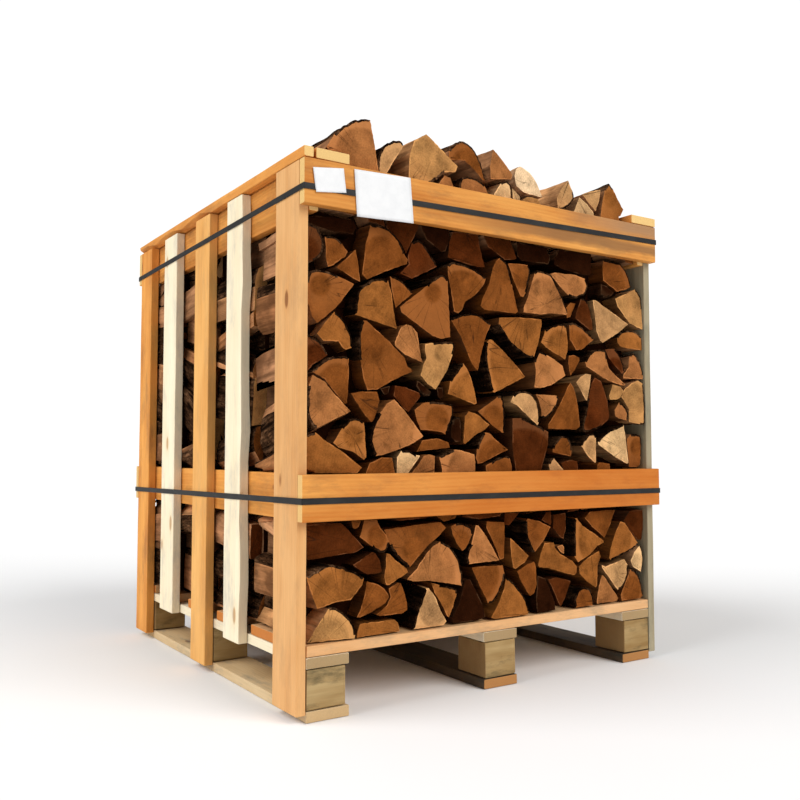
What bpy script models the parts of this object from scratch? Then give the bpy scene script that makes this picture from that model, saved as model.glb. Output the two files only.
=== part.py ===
"""Crate of split oak firewood on its own pallet.

Metres, +Z up. The origin is on the ground under the middle of the crate, and the front,
with the two labels, faces -Y. Every sawn board, every block of the pallet, the two
plastic straps, the labels and the logs of the front heap are separate objects. The other
logs lie in four rows, one behind the other, and each row is one solid that follows the
ends and the long sides of its logs.
"""
import math

import bmesh
import bpy
from mathutils import Vector

# Driving dimensions
CRATE_WIDTH = 1.000      # over the side boards, along X
CRATE_DEPTH = 1.000      # over the edges of the corner boards, along Y
RAIL_TOP = 1.083         # top of the boards that the caps lie on
BOARD = 0.022            # thickness of every sawn board
GAP = 0.0003             # play between two pieces that touch

# The pallet, from the ground up
BLOCK_HEIGHT = 0.078
BLOCK_WIDTH = 0.088      # along X
BLOCK_LENGTH = 0.100     # along Y
RUNNER_WIDTH = 0.095
STRINGER_BOTTOM = BOARD + BLOCK_HEIGHT + 2 * GAP
STRINGER_TOP = STRINGER_BOTTOM + BOARD
DECK_BOTTOM = STRINGER_TOP + GAP
DECK_TOP = DECK_BOTTOM + BOARD
MIDDLE_BLOCK_SHIFT = 0.020    # the middle blocks stand this far behind the centre
DECK_BOARDS = (               # front edge and width of each deck board, along Y
    (-0.500, 0.100), (-0.385, 0.145), (-0.145, 0.100),
    (0.045, 0.100), (0.225, 0.100), (0.400, 0.100),
)

# The boards of the two sides: name, front edge, width along Y, and if it reaches the ground
SIDE_BOARDS = (
    ("corner_board_front", -0.500, 0.105, True),
    ("slat_front", -0.231, 0.093, False),
    ("middle_board", -0.030, 0.095, True),
    ("slat_back", 0.200, 0.098, False),
    ("corner_board_back", 0.408, 0.092, True),
)
BOARD_FOOT = 0.015            # the long side boards end this far above the ground

# Rails
FRONT_RAIL_HEIGHT = 0.091
SIDE_TOP_RAIL_HEIGHT = 0.098
MIDDLE_RAIL_TOP = 0.471
MIDDLE_RAIL_HEIGHT = 0.092
RAIL_BACK = CRATE_DEPTH / 2               # the front and back rails lie against this plane
RAIL_FACE = RAIL_BACK + BOARD

# Caps on top of the side boards
CAP_STRIP_WIDTH = 0.022
CAP_GAP = 0.004
LEFT_CAP_WIDTH = 0.076
LEFT_CAP_WANE = ((0.05, 0.000), (0.16, 0.010), (0.28, 0.004), (0.38, 0.000))
RIGHT_CAP_WIDTH = 0.088

# Plastic straps: heights of their middles at the front left, front right, back right and
# back left corners
STRAP_WIDTH = 0.012
STRAP_THICKNESS = 0.001
STRAP_CORNER_RADIUS = 0.0006
UPPER_STRAP = (1.025, 1.044, 1.030, 1.012)
LOWER_STRAP = (0.420, 0.416, 0.410, 0.406)

# Paper labels, by their corners on the front top rail
PAPER = 0.0005
SMALL_LABEL = ((-0.4818, 1.0632), (-0.4141, 1.0723), (-0.4076, 1.0243), (-0.4749, 1.0153))
LARGE_LABEL = ((-0.3894, 1.0757), (-0.2544, 1.0808), (-0.2468, 0.9863), (-0.3829, 0.9809))

# Logs
ROWS = 4
ROW_PITCH = CRATE_DEPTH / ROWS
ROW_GAP = 0.008
LOG_END_RELIEF = 0.026        # the log ends stand this far out of their row's body
ROW_END_MARGIN = 0.012        # the other ends stay this far inside the row's body
BODY_HALF_WIDTH = 0.442
BODY_BOTTOM = 0.160
BODY_TOP = 1.062
REAR_BODY_TOP = 1.077         # the rows behind the first are filled a little higher
FACE_STRETCH = 1.0105         # outlines are read a little narrow: widths grow by this much
UPPER_STRETCH = 0.0115        # and so do heights above the middle rail
PLAIN_TOLERANCE = 0.0052      # corners nearer to a straight edge than this are left out
SIDE_MARGIN = 0.9400          # the rows behind the first stay clear of the side rails
HEAP_MARGIN = 0.8800          # and their heaps stay between the caps
HEAP_SINK = 0.054             # those heaps are sunk into their rows' bodies
HEAP_LOG_LENGTH = 0.236
UPSIDE_DOWN = 1.229           # a height and the one it is turned over to add up to this

# Outlines of the log ends in the front row, in centimetres from the outer face of the left
# boards and from the ground, as they are seen from the front. Each starts with how far the
# end stands back from the front of the row, in millimetres.
FRONT_LOGS = (
    (14, (2.4, 97.6), (12.6, 98), (13.8, 96.6), (13, 95), (9, 95), (2.6, 96.1)),
    (6, (2.3, 95.4), (4.6, 94.8), (5.9, 92.3), (5.5, 89.8), (3.8, 88.4), (2.3, 88.3)),
    (8, (6.4, 93.5), (8.8, 93.8), (10.5, 92.8), (11.9, 91.3), (11.2, 90.2), (8.2, 88.2), (7, 87.6),
     (6.5, 89.4)),
    (8, (8.9, 87.7), (12.3, 90.8), (13.5, 91.9), (14.1, 89.6), (14.4, 85.4), (12.9, 85.9)),
    (12, (15.4, 100.4), (19.8, 100.4), (20.8, 97.7), (18.6, 98), (16.8, 98)),
    (2, (15.9, 86), (14.8, 87), (15.3, 93), (16.4, 97), (19.5, 97.2), (22, 96), (23.8, 94.3),
     (24.7, 92.3), (25.8, 91.2), (25.6, 90.3), (20, 88)),
    (10, (21.2, 97.6), (21.6, 99.4), (29, 99.4), (28.2, 97.5), (26.4, 94.2), (25.5, 92.5),
     (24.2, 94.9)),
    (8, (24, 88.2), (26.2, 90.4), (26, 92), (27.1, 95), (29, 95.8), (30.2, 95), (33.7, 90.8), (31, 89.4),
     (27, 87.4)),
    (16, (29.8, 99.2), (37.4, 99.4), (37.5, 97), (36.6, 94.6), (35.4, 94.3), (31, 96.4)),
    (4, (2.4, 84), (3, 86.3), (5.5, 86.7), (9, 85.9), (12.6, 84.7), (11.3, 82.9), (8.8, 79.7), (5, 76.4),
     (3.9, 77.7), (2.6, 81)),
    (4, (13.3, 78.7), (13.7, 83.5), (16, 85.4), (18, 86.3), (20.7, 86.3), (21.7, 83.5), (22.1, 81),
     (23.3, 76.6), (21, 77.1)),
    (8, (21.6, 87.4), (24, 87), (26, 85.9), (27.4, 84.4), (25, 82.6), (22.8, 80.9), (22.1, 83.5)),
    (0, (24.2, 81.3), (30.4, 86.2), (32.4, 88.1), (34.4, 88.9), (35.5, 87.7), (35.9, 82), (36.2, 75.7),
     (34, 75.2), (32, 75.7), (26.5, 79), (24.6, 80.2)),
    (14, (37.8, 97), (38.6, 99.2), (44.8, 99.2), (45.5, 96.2), (46.8, 92.2), (44.8, 92), (41, 92.6),
     (37.5, 93.4)),
    (6, (36.7, 89), (36.5, 91.2), (37.6, 92.1), (40.5, 91.9), (43.5, 91), (46.4, 89.5), (46, 88.1),
     (43.4, 85.4), (41, 83.9), (40.2, 82), (39.2, 81.2), (38.2, 81.5), (37.7, 84.5)),
    (2, (44.7, 83.2), (45.2, 84.8), (47, 88), (48.2, 92), (49.3, 93.7), (50.4, 94.5), (52, 94),
     (53, 92.7), (54.2, 89), (55.4, 85), (56.1, 83), (55.4, 82.5), (45.7, 82.4)),
    (10, (46.2, 99.2), (54, 99.2), (55.4, 96.8), (56.2, 95.3), (55.4, 94.9), (52.6, 94.6), (50.6, 95.5),
     (47.6, 96.8)),
    (6, (53.2, 93.7), (56, 94), (59.4, 94.1), (59.9, 92.7), (59.2, 90), (58.2, 87.5), (57.4, 86.4),
     (56.6, 86.5), (55.8, 87.8), (54.7, 90), (53.8, 92.2)),
    (18, (56.8, 99.2), (66, 99.2), (67.2, 96.8), (66.6, 95.3), (58, 95.1), (57, 96)),
    (0, (58.2, 86.4), (60.3, 92), (61.2, 92.8), (65.6, 92.5), (68, 89.6), (70.3, 86.3), (71.5, 83.9),
     (70.8, 83.5), (66, 83.4), (62.4, 82.8), (56.9, 82.8), (57, 83.8)),
    (2, (66.3, 92.8), (67.6, 93.2), (73, 93.2), (76.6, 92.6), (77.4, 91), (77, 89.6), (76, 88.5),
     (73.5, 87.7), (71.6, 88.2), (69.8, 89.5), (67.5, 91.7)),
    (16, (68.8, 97), (70, 99.2), (80.2, 99.2), (79.8, 94), (76, 93.9), (70.5, 94.8), (68.7, 95.6)),
    (6, (83.4, 93), (83.4, 96.4), (83.8, 98), (89.4, 98), (91.4, 96.5), (92.6, 94.2), (93, 92.4),
     (91, 91.5), (88, 90.7), (86, 91.8)),
    (8, (83.1, 92.2), (85, 91.8), (87.2, 90.3), (85.8, 89.2), (84, 88.8), (82.9, 89.6)),
    (2, (87.3, 88.9), (90, 90), (93.4, 91.4), (94.6, 91.9), (95.9, 91), (96.5, 89), (96.6, 87),
     (96.5, 85), (96.5, 81.9), (94.6, 82.3), (92, 83.1), (90.2, 84.7), (88, 87)),
    (0, (79.4, 87.7), (80.2, 87.8), (85, 85.7), (91.3, 82.8), (88.2, 80.6), (84, 78.4), (82.4, 77.6),
     (81.6, 78.1), (80.4, 80.2), (80, 83)),
    (8, (75.9, 86.7), (76.4, 87.8), (77.6, 88.1), (78.5, 86.9), (79.1, 84.6), (79.6, 80.6), (78.6, 80.5),
     (76, 81.7), (74.1, 83), (74.6, 84.6)),
    (18, (71.9, 85.4), (73.5, 86.8), (75.4, 86.8), (73.6, 83.4), (72.4, 83)),
    (4, (87.9, 79.3), (89.2, 80.6), (91.6, 81.3), (94.6, 81.2), (96.5, 79.8), (96.5, 78.2), (96.6, 76.7),
     (91.5, 76.8), (88.8, 77.2), (88, 78)),
    (6, (8.5, 78.8), (10.2, 77.6), (11.2, 76.2), (12.3, 74.3), (12.5, 72), (11.2, 71.5), (10.2, 72),
     (9.4, 73), (6, 73), (4.6, 74.2), (6.4, 76.6)),
    (10, (2.3, 74.5), (4, 73.5), (5.6, 72.8), (7.2, 70.3), (6, 69.4), (3.8, 68.1), (2.3, 66.4)),
    (0, (18.4, 63.9), (20, 64.8), (24, 66.8), (27.2, 68), (25.5, 68.9), (24.7, 70.6), (20.6, 73.8),
     (15.4, 77.5), (14.6, 77.5), (13.8, 76), (13.6, 73), (14.1, 69.5), (15.1, 65.6), (16, 63.7)),
    (4, (22.4, 73), (22.4, 73.8), (24.1, 77), (25.4, 77.6), (26.8, 77.4), (28.2, 76.1), (28.6, 74),
     (29.1, 71.1), (29.6, 69.9), (28.4, 70.3), (25, 71.3)),
    (2, (30.3, 70.9), (29.9, 72.4), (29.9, 73.8), (32, 74.2), (37, 74.7), (37.6, 74), (37.2, 72),
     (35.8, 68.6), (34, 66), (32.9, 64.4), (30.4, 65.8), (28.9, 67.2), (29.4, 69.2)),
    (12, (28.6, 66.2), (30.2, 65.2), (32.2, 63.9), (31.8, 63.1), (30.6, 63), (29.3, 63.9), (28.5, 65)),
    (6, (3.4, 66.8), (5, 68.3), (8, 69.8), (11, 70.1), (11.8, 69.8), (11.9, 66), (11.7, 61), (11.2, 60.8),
     (8.7, 63), (6.3, 65.5)),
    (0, (6, 65), (8.6, 62.3), (11.9, 59.3), (11.4, 59.1), (4.4, 55.9), (3.5, 56.5), (2.5, 58.5),
     (2.4, 61), (2.7, 64), (3.4, 66.1)),
    (2, (36.6, 79.4), (38, 80.2), (41.6, 81.3), (44.6, 81.3), (48.2, 79.4), (46.6, 76.8), (45, 73.2),
     (43.7, 68.9), (42.1, 70.4), (39.2, 76), (37.8, 78)),
    (2, (48.4, 76.2), (49.2, 76), (52, 73.4), (57.4, 68.2), (55, 67.1), (51, 65.4), (48.4, 64.3),
     (47.8, 64.5), (47, 67), (46.5, 70), (46.8, 73.4), (47.4, 75.6)),
    (2, (50.3, 81.1), (56, 81.6), (62.7, 81.7), (62.8, 80.6), (61.8, 76.6), (60.2, 72.9), (58.3, 72.7),
     (55.8, 74), (53.4, 75.4), (51.3, 77.8), (50.1, 79.6)),
    (2, (62.8, 76.4), (64.2, 79.2), (66.4, 80.6), (69.8, 81.2), (70.6, 80.4), (70.8, 77), (70.6, 75),
     (69.8, 72.8), (66.6, 74.1), (64.2, 75.3)),
    (0, (71.2, 81), (72.4, 81.8), (75.6, 80.6), (78, 79.3), (79.6, 78.2), (77.4, 76.8), (75.2, 75.4),
     (73.4, 75.3), (72.2, 76.8), (71.3, 77.6)),
    (2, (60.4, 71.6), (60.7, 73), (61.7, 74.2), (64.2, 73.6), (67, 72.7), (70, 71.4), (71.1, 69.2),
     (68.8, 68.1), (66, 66.7), (62, 65.8), (60.2, 65.9), (60.6, 69)),
    (6, (71.6, 73.8), (73.5, 74.1), (75.2, 73.6), (75.3, 72.9), (73.6, 70.6), (72.2, 69.2), (71.8, 70.2),
     (71.4, 72)),
    (0, (76.7, 72.6), (77.9, 74.5), (80, 75.7), (82.9, 75.7), (83.4, 73.6), (84.2, 71.6), (87.2, 69.4),
     (90, 67.7), (88.8, 67.5), (85.4, 68.2), (82.6, 69.1), (79.6, 70.5), (77.2, 71.6)),
    (2, (83.8, 76.1), (86.8, 76.4), (88.1, 75.3), (89.4, 73), (89.7, 71), (89, 70.4), (86.9, 72.2),
     (85, 73.9)),
    (4, (92.4, 75.1), (93.6, 75.8), (94.9, 74.3), (96.1, 72.4), (96.6, 70.4), (96.5, 69.4), (90.5, 69.4),
     (90.6, 70.5), (92, 72)),
    (0, (90.2, 66.6), (92.4, 68.2), (94.4, 68.9), (96, 68.1), (96.5, 64), (96.6, 60), (96.4, 58),
     (95, 58.1), (91.5, 58.6), (91.6, 61.6), (90, 63.7), (89.1, 64.7)),
    (2, (88, 63.3), (89.6, 62.6), (91, 60.9), (90.7, 58.9), (88, 59.4), (86.8, 59.8), (86.5, 61.4)),
    (2, (85.6, 67.6), (88.5, 67.1), (89.7, 66.2), (88.7, 64.5), (87.5, 64), (85.1, 63.9), (84.7, 64.8)),
    (0, (73.1, 67.6), (74.7, 69), (76.6, 69.8), (78.7, 69.7), (78.2, 67.6), (77.5, 65.2), (76.9, 63.4),
     (76.5, 63.4)),
    (4, (79.9, 69), (81.8, 68.3), (82.8, 66.4), (84, 63.4), (84.6, 60), (84.3, 59), (82.2, 57.5),
     (79.2, 56.3), (76.8, 55.9), (75.9, 56.8), (76.8, 60), (77.8, 64), (78.8, 67.6)),
    (0, (71.2, 67.4), (72, 66.5), (73.4, 63.6), (74.4, 60), (74.9, 57.2), (73.8, 56.5), (64.7, 56.6),
     (64.6, 57.5), (66.2, 59.6), (68.4, 63), (70.1, 66)),
    (0, (52.9, 62.3), (53.7, 63.8), (55.1, 64.7), (58, 64.9), (59.9, 64.2), (61.4, 62.5), (61.9, 60),
     (61.7, 57.9), (61.2, 57.3), (57.4, 59.8), (54.6, 61.7)),
    (2, (61.3, 64.4), (67, 64.2), (67.6, 63.4), (66.6, 61.4), (64.5, 59.4), (63.3, 58.9), (62.7, 59.4),
     (62.6, 61), (62, 63)),
    (4, (12.4, 62.9), (15, 63.4), (18.1, 63.4), (18.7, 61.6), (18, 59), (17.1, 57.3), (16.7, 57.4),
     (14.7, 59.7)),
    (14, (19.6, 64.2), (21.9, 64.8), (21.7, 63.2), (20.6, 63)),
    (6, (22.6, 64.8), (25, 64.6), (28.7, 63.6), (29.1, 62.8), (28, 61.5), (26.2, 59.5), (24.7, 60.5),
     (22.3, 62.8)),
    (0, (22, 61.9), (24.3, 59.9), (27, 57.1), (29.5, 54.6), (29.2, 54.2), (26, 52.6), (20, 50.7),
     (18.2, 50.5), (17, 52.2), (16.6, 54.5), (17.2, 57), (18.6, 59.1), (20.1, 61)),
    (4, (27.5, 60), (29.1, 61.3), (31, 61.7), (36.9, 61.5), (37.1, 59), (36.3, 56.8), (35.6, 55),
     (34.6, 55.4), (32, 55.8), (29.4, 55.9), (28.3, 57.7)),
    (2, (2.4, 54.4), (4.2, 55.1), (6, 53.8), (10, 51.4), (14.5, 48.2), (13.4, 47.2), (4.8, 47.3),
     (2.4, 47.6)),
    (4, (8.4, 53.1), (10.1, 56), (11.6, 57.6), (13.6, 57.8), (15, 57.2), (15.6, 53), (16, 50.3),
     (15.5, 49.7), (13, 51.3), (9.6, 52.2)),
    (6, (15.6, 47), (16.8, 49.1), (19.8, 50.2), (22.4, 50.1), (22.6, 47.6), (22.6, 45.8), (15.8, 45.6)),
    (2, (23.1, 50.2), (24.1, 51.5), (26, 51.5), (27.6, 50.6), (28.5, 50.5), (27.4, 49), (25, 46.2),
     (23.1, 46)),
    (8, (28.5, 51.3), (29.7, 53.7), (33.6, 54.1), (36.2, 53.3), (36.6, 52.2), (33.6, 51.9),
     (30.4, 51.6)),
    (4, (26.2, 46.2), (28.3, 48.6), (29.7, 50.4), (31, 50.8), (32.5, 50.4), (32.4, 45.8)),
    (2, (36.4, 66.3), (38, 68.4), (39.7, 70.3), (40.8, 69.2), (42.4, 66.5), (43.4, 64.1), (44.1, 61.8),
     (43.5, 61.6), (38, 63.1), (35.9, 63.6)),
    (10, (33.6, 64.9), (35.2, 65), (35.3, 63.1), (34.4, 62.5), (33.8, 62.9)),
    (6, (44.7, 60.1), (47, 61.5), (50, 63.4), (51.2, 63.6), (51.6, 62), (51.5, 58), (51.3, 55.5),
     (50.8, 55.5), (47.9, 57.4)),
    (2, (40.5, 58.9), (41.4, 60), (43.4, 59.5), (46.9, 57.2), (45.8, 56.3), (43, 54.7), (40.8, 53),
     (40.4, 53.2)),
    (10, (37.6, 57.2), (38.6, 58.9), (39.7, 58.5), (39.9, 56), (39.7, 53.6), (38.4, 53.4),
     (37.4, 54.4)),
    (4, (44.2, 51.9), (44.8, 53.9), (45.9, 55.5), (47, 55.4), (49, 53.9), (52.4, 51.7), (49, 50.5),
     (45.6, 48.8), (44.5, 48.7), (44, 50)),
    (2, (33.4, 50.1), (37.4, 51.7), (39, 51.7), (43.2, 50.7), (43.5, 49), (43.3, 45.8), (34, 45.8),
     (34.1, 48)),
    (6, (46.4, 48.2), (48, 49), (51, 50.2), (52.4, 50.4), (53.2, 49.9), (53.9, 48), (53.9, 45.8),
     (46.6, 45.8)),
    (0, (53.4, 58.7), (56, 58.8), (60, 57.5), (63, 56.3), (64.3, 55.8), (64.4, 53), (63.3, 49.5),
     (62.2, 45.8), (55, 45.8), (54.3, 49), (53.4, 53)),
    (4, (66, 52), (67.1, 53.7), (68.6, 54.8), (70.4, 54.8), (71.5, 53.7), (72.2, 51.6), (72.1, 50.2),
     (69, 50.6), (66, 51.2)),
    (2, (64.9, 48.4), (65.5, 49.7), (66.1, 49.8), (67.6, 48.4), (69.5, 46.6), (69, 45.8), (65.3, 45.8)),
    (8, (69.2, 48.6), (71.8, 49.4), (74, 49), (74.4, 45.8), (70.6, 45.8), (69.8, 47.4)),
    (2, (74.8, 52.6), (75.8, 54.1), (77.5, 55.4), (79.5, 55.4), (79.9, 54.6), (80, 51), (80.1, 48.8),
     (79.7, 48.6), (77, 50.3)),
    (0, (80.6, 53.7), (83, 55.6), (87, 57.2), (89.2, 57.8), (89.6, 56), (90.2, 52), (90.7, 48.5),
     (90.2, 48.3), (86, 50.1), (80.8, 52.9)),
    (8, (80.8, 48.1), (81.6, 48.7), (85.2, 48.3), (85.4, 45.8), (80.8, 45.8)),
    (4, (90.6, 54.4), (92, 55.4), (95.6, 55.3), (96.2, 53), (95.9, 50), (95.4, 47.5), (91.3, 47.5),
     (91.2, 49)),
    (6, (2.4, 37.2), (10, 37.4), (11.7, 35.8), (15.2, 32.3), (13, 31.4), (8, 31), (3.2, 30.5),
     (2.4, 31.5)),
    (10, (12.8, 37.6), (14.9, 37.6), (14.4, 36.3), (13.6, 36), (13.1, 36.2)),
    (4, (15.6, 37.6), (18.5, 37.6), (19.2, 36), (20.5, 34.5), (21.1, 33), (20.3, 31.3), (18.8, 31.1),
     (17.1, 32.4), (14.3, 34.4), (14.8, 35.5)),
    (2, (26, 27.7), (25, 28.2), (23, 30.1), (21.6, 32.4), (20.3, 35.5), (24, 35.8), (30.6, 36.4),
     (33.7, 36.5), (35.1, 35.3), (33.2, 33.7), (30.5, 31.8)),
    (4, (12.8, 29), (17.2, 31.2), (18, 31), (19, 29.4), (19.4, 27.4), (19, 27), (16, 26.9),
     (14.7, 27.6)),
    (2, (20.4, 30.8), (21.3, 30.5), (23, 29), (25.6, 27.3), (25.9, 26.5), (24, 25.7), (21, 24.5),
     (20.2, 24.5), (19.8, 26), (20.2, 28.4)),
    (0, (2.4, 27.4), (4.4, 28.4), (7, 29.4), (8.6, 29.2), (12, 28), (15, 26.3), (14.6, 25), (12.9, 23.1),
     (12.1, 22.3), (9, 22.1), (4.9, 21.2), (4.3, 22.4), (3.2, 25)),
    (4, (16.1, 25.5), (18.6, 24.7), (20, 23.7), (21, 22.1), (20.2, 20.8), (17.6, 19.6), (14.6, 18.5),
     (13.8, 18.6), (14.7, 20.2), (15.6, 23)),
    (4, (21.3, 23.6), (23.6, 24.6), (24.3, 24.4), (25, 22.6), (25.6, 20), (25.5, 18.9), (24, 18.4),
     (19, 18.4), (18, 18.8), (20.5, 20.2), (21.6, 21.8)),
    (0, (25.6, 25.1), (28, 27.2), (30.2, 30), (31.8, 31.5), (33.6, 32.4), (35.5, 31.6), (37.4, 29.5),
     (38.8, 26.5), (39.3, 23.2), (39, 22.8), (36, 23.5), (31, 24.4), (27, 24.6)),
    (0, (3.1, 14.8), (5.1, 18), (7.2, 21), (8.2, 21.2), (10.5, 19.7), (12.4, 17.5), (12.9, 15.4),
     (12.8, 14.8)),
    (2, (13.4, 14.8), (13.6, 16), (14.2, 17.4), (18, 17.3), (22.5, 17.3), (23.4, 16.5), (23.8, 14.8)),
    (0, (27.2, 14.8), (27.4, 17), (28.6, 20.5), (29.7, 23.1), (30.5, 23), (32.2, 21), (33.8, 17.9),
     (35.5, 15.5), (34.7, 14.8)),
    (4, (32, 23.8), (34, 23.2), (38.2, 22.1), (38.3, 21), (37.2, 19), (35.9, 16.4), (35.5, 16.6),
     (34.2, 19.1), (32.6, 21.8)),
    (6, (40.4, 23.6), (41.8, 23.8), (43.4, 21.4), (45.6, 17.5), (46.1, 15.2), (44, 14.8), (37.4, 14.8),
     (37.2, 16), (39.2, 19.5)),
    (2, (37.2, 33.4), (36.7, 35.4), (38, 35.9), (40.1, 35.9), (42.2, 34.7), (42.2, 33.5), (41.2, 31.7),
     (39.9, 30.3), (39.4, 30.1), (38.1, 31.8)),
    (0, (43.3, 35.3), (44, 35.3), (45.5, 33.6), (47.4, 30.8), (49.5, 27.4), (41, 27.2), (40.5, 28),
     (40.6, 29.6), (41.8, 31.4), (42.7, 33.6)),
    (6, (46.4, 36), (51.5, 35.6), (51.7, 32), (51.6, 27.6), (50.4, 27.4), (49.7, 29.2), (46.3, 34.7)),
    (12, (52.3, 37.6), (56.2, 37.6), (55, 36.3), (53.5, 34.7), (52.3, 35)),
    (2, (57.5, 35.7), (58, 36.2), (61.6, 35.4), (65.1, 33.9), (62.5, 30.5), (60.2, 28.5), (59.7, 28.5),
     (58.6, 30.2), (57.6, 32.6)),
    (2, (52.8, 32), (53.4, 31.7), (55.5, 30.1), (58.5, 27.7), (57.3, 26.4), (54.4, 25.2), (53.7, 25.4),
     (53.1, 28)),
    (2, (42.7, 26.2), (46, 26.3), (50.6, 26.2), (50.9, 24.4), (49.7, 20.9), (47.8, 18.6), (46.3, 18.3),
     (45.8, 19.5), (44.2, 22.7)),
    (0, (47, 15.2), (49.2, 17.8), (51.2, 21), (51.9, 23.1), (52.9, 23), (54.8, 21.1), (56.7, 18.6),
     (57.7, 15.5), (57.5, 14.8), (48, 14.8)),
    (4, (55, 24.5), (58, 25.8), (60.1, 26.3), (60.7, 24.8), (60.7, 21), (60, 19.3), (58.8, 18.7),
     (57.8, 19.7), (56.2, 22.1)),
    (2, (61.4, 25.3), (62.2, 28), (63.5, 30.3), (66.1, 30.3), (66.5, 29), (67.8, 27.6), (71.4, 25.8),
     (72.8, 24.4), (72.7, 22.9), (72, 22.4), (69, 23.1), (64, 24.7), (61.7, 24.9)),
    (6, (67.3, 29.3), (69, 29.6), (69.6, 29), (69.5, 27.4), (68.2, 28.1)),
    (6, (66.2, 33.6), (66.2, 36.6), (69.8, 37), (70.1, 33.6), (69.5, 30.9), (68.5, 31.3)),
    (8, (62.6, 35.6), (64.4, 37.4), (65.8, 37.4), (65.8, 34.9), (65.5, 34.3)),
    (4, (61.2, 23), (63.5, 22.2), (64.7, 20), (66.3, 16.6), (66.3, 14.8), (60.6, 14.8), (60.4, 17.6),
     (61, 20.8)),
    (4, (64.4, 21.9), (67, 22.2), (71.5, 21), (70.7, 19.6), (69.3, 17.2), (67.9, 15.5), (67.2, 16.3),
     (66.2, 18.6)),
    (0, (72.1, 26.7), (72.2, 30), (72.4, 33), (72.7, 35.5), (73.3, 35.6), (75, 33.8), (78.4, 31.9),
     (82.4, 29.5), (79.8, 28.8), (77.2, 26.9), (74.6, 25.9), (73.3, 25.3)),
    (6, (76, 35.5), (77.6, 36.9), (84, 37.1), (86.6, 36.9), (85.2, 34), (83.8, 31.5), (83, 30.4),
     (81.5, 31.5), (78.6, 33.3)),
    (2, (87.6, 34.2), (89.1, 33.8), (91.2, 31.5), (94, 28.5), (92.2, 27.2), (88, 25.9), (84.8, 25),
     (84.2, 25.5), (84.7, 28), (86, 31.6)),
    (10, (90.2, 34.2), (92.2, 36.6), (96.4, 36.6), (96.6, 33), (96.4, 29.2), (95.2, 29.2),
     (92.6, 31.7)),
    (4, (74.3, 24.1), (75.8, 25.4), (78, 26.5), (80.3, 27.5), (80.9, 26.2), (80, 23.8), (79.9, 19.2),
     (79.5, 18.8), (77, 20.3), (74.5, 22.5)),
    (0, (81.3, 24), (82.5, 23.6), (89.4, 24.9), (90.3, 23.4), (89.8, 20.7), (87.8, 18.4), (86.2, 17.7),
     (85.1, 18.8), (82.8, 21.7), (81.4, 23.3)),
    (2, (91.2, 24.4), (92.6, 26.5), (94.5, 27.8), (95.5, 26.8), (95.9, 23.6), (95.1, 21.3), (94, 21.9),
     (92.1, 22.9)),
    (4, (81.7, 21.6), (82.3, 21.3), (84.6, 18.4), (86.7, 15.7), (86, 15), (80, 14.9), (79.9, 15.4),
     (80.7, 19)),
    (2, (87.5, 16.4), (88.8, 18.5), (91.2, 22.4), (93.3, 21.4), (94.8, 19), (95.7, 15.6), (95, 14.9),
     (87.9, 14.9)),
    (0, (72.3, 14.8), (72.1, 16.6), (73.1, 18.5), (75, 19.4), (77.1, 18.7), (78.1, 16.6), (78, 14.8)),
    (8, (4.7, 38.4), (4.7, 45.8), (8, 46.2), (13.6, 45), (14.8, 40.2), (12.4, 38)),
    (12, (15.2, 45), (24.6, 45.4), (22.8, 41), (20, 38.4), (16, 38.2), (15.4, 41)),
    (10, (21.4, 38.2), (24, 41.6), (25.8, 45.4), (33, 45.2), (32.4, 41), (31.6, 37.4), (24, 37.2)),
    (10, (33.2, 38), (34, 45), (43.8, 45.2), (41, 40.6), (38.4, 37), (35.6, 36.4)),
    (8, (39.8, 37.4), (42.6, 41), (44.8, 45), (49.8, 45.2), (53.8, 40.6), (50.6, 37), (44.6, 36.6)),
    (12, (50.8, 45.2), (62, 45), (61.6, 40.2), (57, 38.2), (54.6, 40.8)),
    (8, (57.4, 37.2), (62.2, 39.8), (62.8, 45.2), (69, 45.2), (72, 41.6), (70.4, 38.2), (64, 38.2)),
    (12, (70.4, 45.2), (80, 45), (77.6, 40.8), (74.8, 37.4), (71.4, 37), (72.8, 41.4)),
    (8, (76.2, 37.4), (78.4, 40.4), (81.2, 45.2), (88.8, 45.2), (90, 41), (86, 38)),
    (10, (88.4, 37.8), (90.8, 41), (90, 45.2), (94.2, 45.2), (94.2, 38)),
    (8, (4.7, 99.6), (4.7, 107.2), (10.6, 107.4), (14.6, 101.2), (13.2, 98.8)),
    (10, (12, 107.4), (23.6, 107.4), (20.8, 101.2), (15.4, 101.2)),
    (8, (21.8, 100.2), (24.8, 107.4), (30.4, 107.2), (33.4, 103.4), (31, 100)),
    (6, (33.8, 108.6), (35.6, 110.8), (37.2, 110.6), (38, 108.8), (37.6, 104.4), (34.2, 104),
     (31.6, 107.2)),
    (10, (32.4, 100.2), (34.6, 103.2), (43.8, 103.2), (45.4, 100)),
    (4, (39.2, 108.8), (39.9, 110.8), (41.4, 111.4), (44.2, 111.2), (46.2, 110.2), (47.2, 108.6),
     (46.4, 104), (38.6, 104)),
    (2, (49, 108.8), (50.8, 111.4), (52.4, 112.2), (53.6, 111.4), (54, 108.6), (53.4, 104.2),
     (48, 104.2)),
    (8, (46.6, 100), (47.8, 103.4), (56.8, 103.6), (58.2, 100)),
    (4, (54.4, 111), (56.8, 109.4), (55.6, 104.4), (54.2, 104.4), (54.6, 108.6)),
    (6, (57.6, 108.8), (59, 109.8), (62, 109.8), (63, 108.6), (62.2, 104.2), (57, 104.2)),
    (8, (59.2, 100), (58, 103.6), (72, 103.6), (70.4, 100)),
    (8, (63.6, 104.4), (64, 107.8), (72.8, 107.8), (72.2, 104.4)),
    (4, (73.8, 108.6), (75.6, 112.4), (78.2, 111), (80.2, 109.2), (80.6, 104.8), (73.4, 104.8)),
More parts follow.
